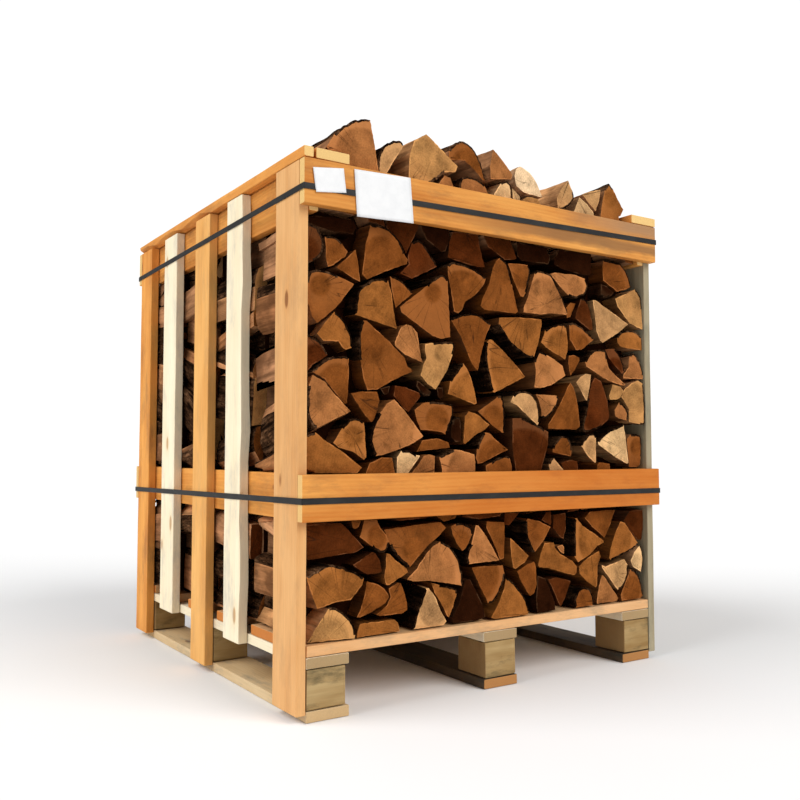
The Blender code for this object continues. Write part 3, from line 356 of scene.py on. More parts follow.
for side in ("left", "right"):
    for name in ("top_rail", "middle_rail"):
        sawn_board(f"{side}_{name}", Y, X, "orange_pine", amber_pine)
# Painted shadow: a dark band just under the strap on the front and back top rails, growing towards
# the right.
strap_shaded_pine = weathered(amber_pine, "strap_shaded_amber_pine", low=1.005, high=1.035, first=-0.25,
                         last=0.15, band_colour=(0.25, 0.12, 0.045), amount=0.8)
strap_shaded_pine = weathered(strap_shaded_pine, "strap_shaded_grimy_amber_pine", low=1.050, high=1.110,
                         first=0.15, last=0.40, band_colour=(0.36, 0.21, 0.11), amount=0.8)
red_pine = weathered(amber_pine, "red_amber_pine", low=0.20, high=0.65, first=-0.60, last=0.10,
                     band_colour=(0.50, 0.11, 0.006), amount=0.62)
for end in ("front", "back"):
    for name, finish in (("top_rail", strap_shaded_pine), ("middle_rail", red_pine)):
        sawn_board(f"{end}_{name}", X, Y, "orange_pine", finish)


# Caps. A narrow strip and a board with a waney edge lie on the left side's top, and one
# board on the right side's. They are nailed down and reach over the front and back rails.


def waney_strip(vert):
    """The strip keeps the round of the log along its lower outer edge, towards the back."""
    low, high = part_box("left_cap_strip")
    if vert.co.x < low.x + 0.004 and vert.co.z < low.z + 0.004 and vert.co.y > -0.1:
        vert.co.z += 0.008 + 0.008 * math.sin(vert.co.y * 29.0)
        vert.co.x += 0.001


def waney_board(vert):
    """The inner edge of the left cap board has a hollow where the log had one."""
    depth, middle, width = 0.010, 0.16, 0.07
    if vert.co.x > -0.42:
        vert.co.x -= depth * math.exp(-((vert.co.y - middle) / width) ** 2)


sawn_board("left_cap_strip", Y, Z, "orange_pine", amber_pine, shape=waney_strip)
sawn_board("left_cap_board", Y, Z, "orange_pine", amber_pine, shape=waney_board)
sawn_board("right_cap_board", Y, Z, "orange_pine", amber_pine)


# Stacked logs. Oak, sawn to 24 cm and split into wedges and half rounds. They are stacked by
# hand in four rows, one behind the other, so the front and the back show only sawn ends.

# Outlines of the front row's ends, in millimetres from the outer face of the left boards and
# from the ground, seen from the front. Before them stand a letter for the colour of the wood,
# how far the end stands back in millimetres, and which of its sides are bark. The letter x is
# painted shade: a near-black tone for ends deep in the gaps.
FRONT_LOGS = (
    ("x", 14, None, (24, 976), (126, 980), (138, 966), (130, 950), (90, 950), (26, 961)),
    ("d", 6, (0, 4), (23, 954), (46, 948), (59, 923), (55, 898), (38, 884), (23, 883)),
    ("m", 8, (0, 2), (64, 935), (88, 938), (105, 928), (119, 913), (112, 902), (82, 882), (70, 876),
     (65, 894)),
    ("m", 8, None, (89, 877), (123, 908), (135, 919), (141, 896), (144, 854), (129, 859)),
    ("d", 12, None, (154, 1004), (198, 1004), (208, 977), (186, 980), (168, 980)),
    ("m", 2, (3, 7), (159, 860), (148, 870), (153, 930), (164, 970), (195, 972), (220, 960),
     (238, 943), (247, 923), (258, 912), (256, 903), (200, 880)),
    ("d", 10, None, (212, 976), (216, 994), (290, 994), (282, 975), (264, 942), (255, 925),
     (242, 949)),
    ("r", 8, (3, 6), (240, 882), (262, 904), (260, 920), (271, 950), (290, 958), (302, 950),
     (337, 908), (310, 894), (270, 874)),
    ("x", 16, None, (298, 992), (374, 994), (375, 970), (366, 946), (354, 943), (310, 964)),
    ("m", 4, (0, 3), (24, 840), (30, 863), (55, 867), (90, 859), (126, 847), (113, 829), (88, 797),
     (50, 764), (39, 777), (26, 810)),
    ("o", 4, (0, 4), (133, 787), (137, 835), (160, 854), (180, 863), (207, 863), (217, 835),
     (221, 810), (233, 766), (210, 771)),
    ("m", 8, (0, 3), (216, 874), (240, 870), (260, 859), (274, 844), (250, 826), (228, 809),
     (221, 835)),
    ("m", 0, (1, 4), (242, 813), (304, 862), (324, 881), (344, 889), (355, 877), (359, 820),
     (362, 757), (340, 752), (320, 757), (265, 790), (246, 802)),
    ("r", 14, None, (378, 970), (386, 992), (448, 992), (455, 962), (468, 922), (448, 920),
     (410, 926), (375, 934)),
    ("m", 6, (1, 5), (367, 890), (365, 912), (376, 921), (405, 919), (435, 910), (464, 895),
     (460, 881), (434, 854), (410, 839), (402, 820), (392, 812), (382, 815), (377, 845)),
    ("m", 2, (5, 8), (447, 832), (452, 848), (470, 880), (482, 920), (493, 937), (504, 945),
     (520, 940), (530, 927), (542, 890), (554, 850), (561, 830), (554, 825), (457, 824)),
    ("d", 10, None, (462, 992), (540, 992), (554, 968), (562, 953), (554, 949), (526, 946),
     (506, 955), (476, 968)),
    ("m", 6, (2, 5), (532, 937), (560, 940), (594, 941), (599, 927), (592, 900), (582, 875),
     (574, 864), (566, 865), (558, 878), (547, 900), (538, 922)),
    ("x", 18, None, (568, 992), (660, 992), (672, 968), (666, 953), (580, 951), (570, 960)),
    ("k", 0, (1, 6), (582, 864), (603, 920), (612, 928), (656, 925), (680, 896), (703, 863),
     (715, 839), (708, 835), (660, 834), (624, 828), (569, 828), (570, 838)),
    ("k", 2, (3, 8), (663, 928), (676, 932), (730, 932), (766, 926), (774, 910), (770, 896),
     (760, 885), (735, 877), (716, 882), (698, 895), (675, 917)),
    ("x", 16, None, (688, 970), (700, 992), (802, 992), (798, 940), (760, 939), (705, 948),
     (687, 956)),
    ("m", 6, (2, 6), (834, 930), (834, 964), (838, 980), (894, 980), (914, 965), (926, 942),
     (930, 924), (910, 915), (880, 907), (860, 918)),
    ("x", 8, (3, 5), (831, 922), (850, 918), (872, 903), (858, 892), (840, 888), (829, 896)),
    ("p", 2, (3, 6), (873, 889), (900, 900), (934, 914), (946, 919), (959, 910), (965, 890),
     (966, 870), (965, 850), (965, 819), (946, 823), (920, 831), (902, 847), (880, 870)),
    ("y", 0, None, (794, 877), (802, 878), (850, 857), (913, 828), (882, 806), (840, 784),
     (824, 776), (816, 781), (804, 802), (800, 830)),
    ("d", 8, (1, 3), (759, 867), (764, 878), (776, 881), (785, 869), (791, 846), (796, 806),
     (786, 805), (760, 817), (741, 830), (746, 846)),
    ("m", 18, None, (719, 854), (735, 868), (754, 868), (736, 834), (724, 830)),
    ("o", 4, (0, 4), (879, 793), (892, 806), (916, 813), (946, 812), (965, 798), (965, 782),
     (966, 767), (915, 768), (888, 772), (880, 780)),
    ("o", 6, (0, 4), (85, 788), (102, 776), (112, 762), (123, 743), (125, 720), (112, 715),
     (102, 720), (94, 730), (60, 730), (46, 742), (64, 766)),
    ("r", 10, (0, 3), (23, 745), (40, 735), (56, 728), (72, 703), (60, 694), (38, 681), (23, 664)),
    ("m", 0, (8, 11), (184, 639), (200, 648), (240, 668), (272, 680), (255, 689), (247, 706),
     (206, 738), (154, 775), (146, 775), (138, 760), (136, 730), (141, 695), (151, 656),
     (160, 637)),
    ("k", 4, None, (224, 730), (224, 738), (241, 770), (254, 776), (268, 774), (282, 761),
     (286, 740), (291, 711), (296, 699), (284, 703), (250, 713)),
    ("p", 2, (3, 6), (303, 709), (299, 724), (299, 738), (320, 742), (370, 747), (376, 740),
     (372, 720), (358, 686), (340, 660), (329, 644), (304, 658), (289, 672), (294, 692)),
    ("x", 12, (2, 5), (286, 662), (302, 652), (322, 639), (318, 631), (306, 630), (293, 639),
     (285, 650)),
    ("m", 6, (0, 4), (34, 668), (50, 683), (80, 698), (110, 701), (118, 698), (119, 660),
     (117, 610), (112, 608), (87, 630), (63, 655)),
    ("k", 0, (4, 8), (60, 650), (86, 623), (119, 593), (114, 591), (44, 559), (35, 565), (25, 585),
     (24, 610), (27, 640), (34, 661)),
    ("m", 2, (0, 4), (366, 794), (380, 802), (416, 813), (446, 813), (482, 794), (466, 768),
     (450, 732), (437, 689), (421, 704), (392, 760), (378, 780)),
    ("o", 2, (7, 11), (484, 762), (492, 760), (520, 734), (574, 682), (550, 671), (510, 654),
     (484, 643), (478, 645), (470, 670), (465, 700), (468, 734), (474, 756)),
    ("o", 2, (5, 10), (503, 811), (560, 816), (627, 817), (628, 806), (618, 766), (602, 729),
     (583, 727), (558, 740), (534, 754), (513, 778), (501, 796)),
    ("o", 2, (1, 4), (628, 764), (642, 792), (664, 806), (698, 812), (706, 804), (708, 770),
     (706, 750), (698, 728), (666, 741), (642, 753)),
    ("m", 0, (0, 4), (712, 810), (724, 818), (756, 806), (780, 793), (796, 782), (774, 768),
     (752, 754), (734, 753), (722, 768), (713, 776)),
    ("k", 2, (0, 3), (604, 716), (607, 730), (617, 742), (642, 736), (670, 727), (700, 714),
     (711, 692), (688, 681), (660, 667), (620, 658), (602, 659), (606, 690)),
    ("m", 6, None, (716, 738), (735, 741), (752, 736), (753, 729), (736, 706), (722, 692),
     (718, 702), (714, 720)),
    ("k", 0, (0, 4), (767, 726), (779, 745), (800, 757), (829, 757), (834, 736), (842, 716),
     (872, 694), (900, 677), (888, 675), (854, 682), (826, 691), (796, 705), (772, 716)),
    ("r", 2, (1, 4), (838, 761), (868, 764), (881, 753), (894, 730), (897, 710), (890, 704),
     (869, 722), (850, 739)),
    ("k", 4, (0, 4), (924, 751), (936, 758), (949, 743), (961, 724), (966, 704), (965, 694),
     (905, 694), (906, 705), (920, 720)),
    ("p", 0, (3, 7), (902, 666), (924, 682), (944, 689), (960, 681), (965, 640), (966, 600),
     (964, 580), (950, 581), (915, 586), (916, 616), (900, 637), (891, 647)),
    ("k", 2, (0, 3), (880, 633), (896, 626), (910, 609), (907, 589), (880, 594), (868, 598),
     (865, 614)),
    ("p", 2, None, (856, 676), (885, 671), (897, 662), (887, 645), (875, 640), (851, 639),
     (847, 648)),
    ("y", 0, None, (731, 676), (747, 690), (766, 698), (787, 697), (782, 676), (775, 652),
     (769, 634), (765, 634)),
    ("r", 4, (6, 11), (799, 690), (818, 683), (828, 664), (840, 634), (846, 600), (843, 590),
     (822, 575), (792, 563), (768, 559), (759, 568), (768, 600), (778, 640), (788, 676)),
    ("m", 0, None, (712, 674), (720, 665), (734, 636), (744, 600), (749, 572), (738, 565),
     (647, 566), (646, 575), (662, 596), (684, 630), (701, 660)),
    ("y", 0, (1, 7), (529, 623), (537, 638), (551, 647), (580, 649), (599, 642), (614, 625),
     (619, 600), (617, 579), (612, 573), (574, 598), (546, 617)),
    ("k", 2, (1, 6), (613, 644), (670, 642), (676, 634), (666, 614), (645, 594), (633, 589),
     (627, 594), (626, 610), (620, 630)),
    ("m", 4, None, (124, 629), (150, 634), (181, 634), (187, 616), (180, 590), (171, 573),
     (167, 574), (147, 597)),
    ("x", 14, None, (196, 642), (219, 648), (217, 632), (206, 630)),
    ("r", 6, None, (226, 648), (250, 646), (287, 636), (291, 628), (280, 615), (262, 595),
     (247, 605), (223, 628)),
    ("k", 0, (7, 11), (220, 619), (243, 599), (270, 571), (295, 546), (292, 542), (260, 526),
     (200, 507), (182, 505), (170, 522), (166, 545), (172, 570), (186, 591), (201, 610)),
    ("m", 4, (2, 6), (275, 600), (291, 613), (310, 617), (369, 615), (371, 590), (363, 568),
     (356, 550), (346, 554), (320, 558), (294, 559), (283, 577)),
    ("o", 2, (0, 1), (24, 544), (42, 551), (60, 538), (100, 514), (145, 482), (134, 472), (48, 473),
     (24, 476)),
    ("o", 4, (1, 4), (84, 531), (101, 560), (116, 576), (136, 578), (150, 572), (156, 530),
     (160, 503), (155, 497), (130, 513), (96, 522)),
    ("m", 6, None, (156, 470), (168, 491), (198, 502), (224, 501), (226, 476), (226, 458),
     (158, 456)),
    ("w", 2, (1, 3), (231, 502), (241, 515), (260, 515), (276, 506), (285, 505), (274, 490),
     (250, 462), (231, 460)),
    ("m", 8, None, (285, 513), (297, 537), (336, 541), (362, 533), (366, 522), (336, 519),
     (304, 516)),
    ("k", 4, None, (262, 462), (283, 486), (297, 504), (310, 508), (325, 504), (324, 458)),
    ("o", 2, (0, 2), (364, 663), (380, 684), (397, 703), (408, 692), (424, 665), (434, 641),
     (441, 618), (435, 616), (380, 631), (359, 636)),
    ("x", 10, None, (336, 649), (352, 650), (353, 631), (344, 625), (338, 629)),
    ("m", 6, (2, 6), (447, 601), (470, 615), (500, 634), (512, 636), (516, 620), (515, 580),
     (513, 555), (508, 555), (479, 574)),
    ("o", 2, None, (405, 589), (414, 600), (434, 595), (469, 572), (458, 563), (430, 547),
     (408, 530), (404, 532)),
    ("x", 10, (0, 2), (376, 572), (386, 589), (397, 585), (399, 560), (397, 536), (384, 534),
     (374, 544)),
    ("m", 4, (0, 2), (442, 519), (448, 539), (459, 555), (470, 554), (490, 539), (524, 517),
     (490, 505), (456, 488), (445, 487), (440, 500)),
    ("k", 2, (0, 1), (334, 501), (374, 517), (390, 517), (432, 507), (435, 490), (433, 458),
     (340, 458), (341, 480)),
    ("m", 6, (1, 4), (464, 482), (480, 490), (510, 502), (524, 504), (532, 499), (539, 480),
     (539, 458), (466, 458)),
    ("d", 0, (1, 3), (534, 587), (560, 588), (600, 575), (630, 563), (643, 558), (644, 530),
     (633, 495), (622, 458), (550, 458), (543, 490), (534, 530)),
    ("m", 4, (0, 5), (660, 520), (671, 537), (686, 548), (704, 548), (715, 537), (722, 516),
     (721, 502), (690, 506), (660, 512)),
    ("y", 2, (0, 2), (649, 484), (655, 497), (661, 498), (676, 484), (695, 466), (690, 458),
     (653, 458)),
    ("d", 8, None, (692, 486), (718, 494), (740, 490), (744, 458), (706, 458), (698, 474)),
    ("y", 2, (0, 4), (748, 526), (758, 541), (775, 554), (795, 554), (799, 546), (800, 510),
     (801, 488), (797, 486), (770, 503)),
    ("w", 0, (0, 3), (806, 537), (830, 556), (870, 572), (892, 578), (896, 560), (902, 520),
     (907, 485), (902, 483), (860, 501), (808, 529)),
    ("m", 8, None, (808, 481), (816, 487), (852, 483), (854, 458), (808, 458)),
    ("m", 4, (1, 4), (906, 544), (920, 554), (956, 553), (962, 530), (959, 500), (954, 475),
     (913, 475), (912, 490)),
    ("d", 6, None, (24, 372), (100, 374), (117, 358), (152, 323), (130, 314), (80, 310), (32, 305),
     (24, 315)),
    ("m", 10, None, (128, 376), (149, 376), (144, 363), (136, 360), (131, 362)),
    ("m", 4, (4, 7), (156, 376), (185, 376), (192, 360), (205, 345), (211, 330), (203, 313),
     (188, 311), (171, 324), (143, 344), (148, 355)),
    ("m", 2, (0, 3), (260, 277), (250, 282), (230, 301), (216, 324), (203, 355), (240, 358),
     (306, 364), (337, 365), (351, 353), (332, 337), (305, 318)),
    ("d", 4, None, (128, 290), (172, 312), (180, 310), (190, 294), (194, 274), (190, 270),
     (160, 269), (147, 276)),
    ("o", 2, None, (204, 308), (213, 305), (230, 290), (256, 273), (259, 265), (240, 257),
     (210, 245), (202, 245), (198, 260), (202, 284)),
    ("o", 0, (0, 5), (24, 274), (44, 284), (70, 294), (86, 292), (120, 280), (150, 263), (146, 250),
     (129, 231), (121, 223), (90, 221), (49, 212), (43, 224), (32, 250)),
    ("m", 4, None, (161, 255), (186, 247), (200, 237), (210, 221), (202, 208), (176, 196),
     (146, 185), (138, 186), (147, 202), (156, 230)),
    ("m", 4, None, (213, 236), (236, 246), (243, 244), (250, 226), (256, 200), (255, 189),
     (240, 184), (190, 184), (180, 188), (205, 202), (216, 218)),
    ("k", 0, (4, 9), (256, 251), (280, 272), (302, 300), (318, 315), (336, 324), (355, 316),
     (374, 295), (388, 265), (393, 232), (390, 228), (360, 235), (310, 244), (270, 246)),
    ("p", 0, (2, 6), (31, 148), (51, 180), (72, 210), (82, 212), (105, 197), (124, 175), (129, 154),
     (128, 148)),
    ("o", 2, None, (134, 148), (136, 160), (142, 174), (180, 173), (225, 173), (234, 165),
     (238, 148)),
    ("y", 0, (0, 3), (272, 148), (274, 170), (286, 205), (297, 231), (305, 230), (322, 210),
     (338, 179), (355, 155), (347, 148)),
    ("o", 4, (1, 3), (320, 238), (340, 232), (382, 221), (383, 210), (372, 190), (359, 164),
     (355, 166), (342, 191), (326, 218)),
    ("x", 6, None, (404, 236), (418, 238), (434, 214), (456, 175), (461, 152), (440, 148),
     (374, 148), (372, 160), (392, 195)),
    ("m", 2, (2, 5), (372, 334), (367, 354), (380, 359), (401, 359), (422, 347), (422, 335),
     (412, 317), (399, 303), (394, 301), (381, 318)),
    ("k", 0, (5, 8), (433, 353), (440, 353), (455, 336), (474, 308), (495, 274), (410, 272),
     (405, 280), (406, 296), (418, 314), (427, 336)),
    ("m", 6, None, (464, 360), (515, 356), (517, 320), (516, 276), (504, 274), (497, 292),
     (463, 347)),
    ("r", 12, None, (523, 376), (562, 376), (550, 363), (535, 347), (523, 350)),
    ("m", 2, (5, 9), (575, 357), (580, 362), (616, 354), (651, 339), (625, 305), (602, 285),
     (597, 285), (586, 302), (576, 326)),
    ("o", 2, None, (528, 320), (534, 317), (555, 301), (585, 277), (573, 264), (544, 252),
     (537, 254), (531, 280)),
    ("m", 2, (3, 6), (427, 262), (460, 263), (506, 262), (509, 244), (497, 209), (478, 186),
     (463, 183), (458, 195), (442, 227)),
    ("o", 0, (3, 7), (470, 152), (492, 178), (512, 210), (519, 231), (529, 230), (548, 211),
     (567, 186), (577, 155), (575, 148), (480, 148)),
    ("m", 4, None, (550, 245), (580, 258), (601, 263), (607, 248), (607, 210), (600, 193),
     (588, 187), (578, 197), (562, 221)),
    ("o", 2, None, (614, 253), (622, 280), (635, 303), (661, 303), (665, 290), (678, 276),
     (714, 258), (728, 244), (727, 229), (720, 224), (690, 231), (640, 247), (617, 249)),
    ("k", 6, None, (673, 293), (690, 296), (696, 290), (695, 274), (682, 281)),
    ("d", 6, None, (662, 336), (662, 366), (698, 370), (701, 336), (695, 309), (685, 313)),
    ("d", 8, None, (626, 356), (644, 374), (658, 374), (658, 349), (655, 343)),
    ("x", 4, None, (612, 230), (635, 222), (647, 200), (663, 166), (663, 148), (606, 148),
     (604, 176), (610, 208)),
    ("d", 4, None, (644, 219), (670, 222), (715, 210), (707, 196), (693, 172), (679, 155),
     (672, 163), (662, 186)),
    ("o", 0, (0, 3), (721, 267), (722, 300), (724, 330), (727, 355), (733, 356), (750, 338),
     (784, 319), (824, 295), (798, 288), (772, 269), (746, 259), (733, 253)),
    ("m", 6, None, (760, 355), (776, 369), (840, 371), (866, 369), (852, 340), (838, 315),
     (830, 304), (815, 315), (786, 333)),
    ("o", 2, (3, 6), (876, 342), (891, 338), (912, 315), (940, 285), (922, 272), (880, 259),
     (848, 250), (842, 255), (847, 280), (860, 316)),
    ("d", 10, None, (902, 342), (922, 366), (964, 366), (966, 330), (964, 292), (952, 292),
     (926, 317)),
    ("o", 4, None, (743, 241), (758, 254), (780, 265), (803, 275), (809, 262), (800, 238),
     (799, 192), (795, 188), (770, 203), (745, 225)),
    ("y", 0, (3, 6), (813, 240), (825, 236), (894, 249), (903, 234), (898, 207), (878, 184),
     (862, 177), (851, 188), (828, 217), (814, 233)),
    ("w", 2, (2, 5), (912, 244), (926, 265), (945, 278), (955, 268), (959, 236), (951, 213),
     (940, 219), (921, 229)),
    ("k", 4, None, (817, 216), (823, 213), (846, 184), (867, 157), (860, 150), (800, 149),
     (799, 154), (807, 190)),
    ("m", 2, (2, 5), (875, 164), (888, 185), (912, 224), (933, 214), (948, 190), (957, 156),
     (950, 149), (879, 149)),
    ("m", 0, (0, 6), (723, 148), (721, 166), (731, 185), (750, 194), (771, 187), (781, 166),
     (780, 148)),
    ("m", 8, None, (47, 384), (47, 458), (80, 462), (136, 450), (148, 402), (124, 380)),
    ("m", 12, None, (152, 450), (246, 454), (228, 410), (200, 384), (160, 382), (154, 410)),
    ("r", 10, None, (214, 382), (240, 416), (258, 454), (330, 452), (324, 410), (316, 374),
     (240, 372)),
    ("m", 10, None, (332, 380), (340, 450), (438, 452), (410, 406), (384, 370), (356, 364)),
    ("d", 8, None, (398, 374), (426, 410), (448, 450), (498, 452), (538, 406), (506, 370),
     (446, 366)),
    ("m", 12, None, (508, 452), (620, 450), (616, 402), (570, 382), (546, 408)),
    ("m", 8, None, (574, 372), (622, 398), (628, 452), (690, 452), (720, 416), (704, 382),
     (640, 382)),
    ("r", 12, None, (704, 452), (800, 450), (776, 408), (748, 374), (714, 370), (728, 414)),
    ("m", 8, None, (762, 374), (784, 404), (812, 452), (888, 452), (900, 410), (860, 380)),
    ("d", 10, None, (884, 378), (908, 410), (900, 452), (942, 452), (942, 380)),
    ("m", 8, None, (47, 996), (47, 1072), (106, 1074), (146, 1012), (132, 988)),
    ("m", 10, None, (120, 1074), (236, 1074), (208, 1012), (154, 1012)),
    ("r", 8, None, (218, 1002), (248, 1074), (304, 1072), (334, 1034), (310, 1000)),
    ("k", 6, None, (338, 1086), (356, 1108), (372, 1106), (380, 1088), (376, 1044), (342, 1040),
     (316, 1072)),
    ("m", 10, None, (324, 1002), (346, 1032), (438, 1032), (454, 1000)),
    ("k", 4, (0, 4), (392, 1088), (399, 1108), (414, 1114), (442, 1112), (462, 1102), (472, 1086),
     (464, 1040), (386, 1040)),
    ("w", 2, (1, 4), (490, 1088), (508, 1114), (524, 1122), (536, 1114), (540, 1086), (534, 1042),
     (480, 1042)),
    ("m", 8, None, (466, 1000), (478, 1034), (568, 1036), (582, 1000)),
    ("w", 4, None, (544, 1110), (568, 1094), (556, 1044), (542, 1044), (546, 1086)),
    ("p", 6, None, (576, 1088), (590, 1098), (620, 1098), (630, 1086), (622, 1042), (570, 1042)),
    ("m", 8, None, (592, 1000), (580, 1036), (720, 1036), (704, 1000)),
    ("m", 8, None, (636, 1044), (640, 1078), (728, 1078), (722, 1044)),
    ("w", 4, None, (738, 1086), (756, 1124), (782, 1110), (802, 1092), (806, 1048), (734, 1048)),
    ("m", 8, None, (714, 1000), (732, 1040), (820, 1040), (840, 996), (812, 996)),
    ("d", 8, None, (816, 1074), (916, 1074), (908, 1018), (892, 988), (850, 988), (824, 1044)),
    ("m", 8, None, (926, 1072), (942, 1072), (942, 984), (912, 984), (918, 1018)),
)

# The logs of the heap, in the same measures, with their names first.
HEAP_LOGS = (
    ("brown_wedge", "k", 3, (1, 4), (64, 1112), (84, 1144), (110, 1169), (136, 1183), (164, 1188),
     (172, 1146), (179, 1110), (184, 1079), (120, 1079), (104, 1109)),
    ("bark_half_round", "y", 12, (0, 5), (190, 1082), (189, 1120), (204, 1147), (230, 1161),
     (248, 1162), (252, 1154), (234, 1126), (206, 1080)),
    ("large_wedge", "p", 0, (7, 9), (259, 1079), (261, 1135), (272, 1166), (302, 1186), (335, 1164),
     (384, 1130), (379, 1118), (350, 1112), (310, 1079)),
    ("arched_half_round", "m", 8, (1, 7), (366, 1144), (366, 1164), (384, 1185), (404, 1192),
     (430, 1187), (450, 1170), (465, 1144), (473, 1119), (466, 1118), (440, 1136), (410, 1150)),
    ("pink_wedge", "k", 4, None, (479, 1120), (478, 1148), (492, 1192), (522, 1168), (546, 1142),
     (540, 1130)),
    ("pale_half_round", "v", 2, None, (553, 1142), (558, 1158), (571, 1166), (594, 1156),
     (611, 1138), (623, 1117), (632, 1102), (610, 1102), (578, 1106), (558, 1118)),
    ("striped_wedge", "y", 4, (3, 6), (684, 1112), (696, 1134), (716, 1157), (731, 1132),
     (736, 1116), (720, 1096), (688, 1082)),
    ("tan_wedge", "y", 2, None, (762, 1131), (790, 1143), (825, 1152), (821, 1126), (810, 1098),
     (784, 1114)),
    ("dark_wedge", "o", 0, (1, 3), (827, 1110), (835, 1152), (848, 1170), (864, 1160), (882, 1139),
     (906, 1116), (886, 1079), (824, 1079)),
)
SPLIT_OAK = {
    "d": (0.075, 0.018, 0.004),   # dark brown
    "m": (0.190, 0.056, 0.011),   # mid brown
    "p": (0.400, 0.190, 0.062),   # pale sapwood
    "o": (0.270, 0.092, 0.020),   # light orange brown
    "r": (0.085, 0.019, 0.004),   # reddish dark
    "k": (0.330, 0.124, 0.038),   # pinkish tan
    # x is painted shade: a near-black tone for ends and fillers deep in the stack.
    "x": (0.022, 0.006, 0.002),   # deep in the stack
    "y": (0.470, 0.245, 0.098),   # straw
    "w": (0.600, 0.360, 0.165),   # nearly white
    "v": (0.740, 0.500, 0.290),   # bleached
}


def sawn_end_finish():
    """The sawn end of a log: rings round its heart, cracks along the rays, saw marks."""
    material, shader, grain = new_finish("oak_sawn_end", 0.78, 0.0)
    tone = grain.mark("tone", output=0)
    flat = grain.stretched(0.0, 1.0, 1.0)
    place = grain.stretched(0.05, 1.0, 1.0)
    radius = flat.add("VectorMath", {"operation": "LENGTH"}, {0: flat}, output=1)
    drift = place.stretched(8.0, 16.0, 16.0).speckle(2.0)
    rings = (radius * 1150.0 + drift * 26.0).wave() * 0.5 + 0.5
    mottling = place.evenly(20.0).speckle(5.0, 0.62)
    grit = place.evenly(300.0).speckle(2.0, 0.7)
    saw_marks = place.stretched(9.0, 45.0, 330.0).speckle(2.0, 0.6)
    angle = flat.maths("ARCTAN2", grain.part(2), grain.part(1))
    rays = flat.add("CombineXYZ", {}, {0: grain.part(0) * 0.9, 1: angle * 3.4, 2: radius * 2.5})
    crack = (rays.speckle(1.0) - 0.5).size().ramp((0.0, 1.0), (0.006, 0.0))
    crack = crack * place.evenly(6.0).speckle(1.0).rising(0.50, 0.56)
    clouds = mottling.rising(0.32, 0.68)
    golden = place.evenly(13.0).speckle(3.0, 0.6).rising(0.42, 0.62)
    fine = 0.35 * (saw_marks - 0.5) + 0.70 * (grit - 0.5)
    colour = tone.shaded(0.58 + 0.62 * clouds + 0.06 * rings + fine)
    gilt = tone.add("VectorMath", {"operation": "MULTIPLY"}, {0: colour, 1: (1.26, 1.32, 1.32)})
    colour = colour.tinted(golden * 0.6, gilt)
    stain = place.evenly(24.0).speckle(4.0, 0.65).rising(0.56, 0.72)
    colour = colour.tinted(stain * 0.6, tone.shaded(0.35))
    bark_at = grain.mark("tone", output=3)
    sapwood = (radius - bark_at + drift * 0.012 + 0.5).rising(0.490, 0.496)
    sappy = grain.evenly(2.5).speckle(0.0).ramp((0.44, 0.15), (0.56, 1.0))
    yellow = tone.shaded(1.60).tinted(0.05, (0.80, 0.52, 0.24))
    colour = colour.tinted(sapwood * sappy * 0.7, yellow)
    rim = grain.mark("rim")
    # Pale ragged rims round the sawn ends: partly pale ripped fibres, partly a painted highlight
    # along the edges.
    splinters_and_highlight = place.evenly(160.0).speckle(3.0, 0.65)
    pale = place.evenly(26.0).speckle(2.0).rising(0.50, 0.58)
    splinters_and_highlight = (rim * 0.9 + splinters_and_highlight).rising(0.92, 1.10) * (0.08 + 0.92 * pale)
    colour = colour.tinted(splinters_and_highlight * 0.80, tone.shaded(1.8).tinted(0.06, (0.80, 0.50, 0.25)))
    colour = colour.tinted(crack * 0.75, (0.03, 0.012, 0.006))
    lumps = place.evenly(70.0).speckle(3.0, 0.55)
    height = lumps + mottling * 0.5 + grit * 0.15 + saw_marks * 0.25 - crack * 0.5
    finish_with(shader, colour, height, 0.8, 0.0035)
    return material


def split_face_finish():
    """A face opened by the axe: long ripped fibres, lighter than the bark, with dark patches;
    painted shade darkens it inside the stack and near the sawn ends, and painted daylight turns it
    a lighter tan in the open.
    """
    material, shader, grain = new_finish("oak_split_face", 0.80, 0.0)
    tone = grain.mark("tone", output=0)
    fibres = grain.stretched(7.0, 150.0, 150.0).speckle(4.0, 0.6)
    streaks = grain.stretched(3.0, 40.0, 40.0).speckle(4.0, 0.6)
    patches = grain.stretched(9.0, 14.0, 14.0).speckle(4.0, 0.6)
    open_air = grain.mark("open_air")
    rim = grain.mark("rim")
    # Painted daylight: in the open the side turns a lighter tan; inside the stack it keeps the
    # log's darker tone, as painted shade.
    daylit_tan = grain.evenly(2.5).speckle(0.0).ramp((0.36, 0.35), (0.62, 0.85))
    colour = tone.tinted(open_air * daylit_tan, (0.54, 0.27, 0.13))
    streaks = streaks.ramp((0.36, 0.05), (0.60, 1.0))
    # Painted shade near the rims of the sawn ends, where the rows meet, then painted daylight:
    # brighter in the open, darker inside the stack.
    colour = colour.shaded((0.10 + 0.75 * streaks + 0.85 * fibres) * (1.0 - rim * 0.35))
    colour = colour.shaded(0.75 + 0.40 * open_air)
    colour = colour.tinted(patches.rising(0.46, 0.60) * 0.6, (0.08, 0.032, 0.014))
    finish_with(shader, colour, fibres * 0.5 + streaks, 0.8, 0.004)
    return material


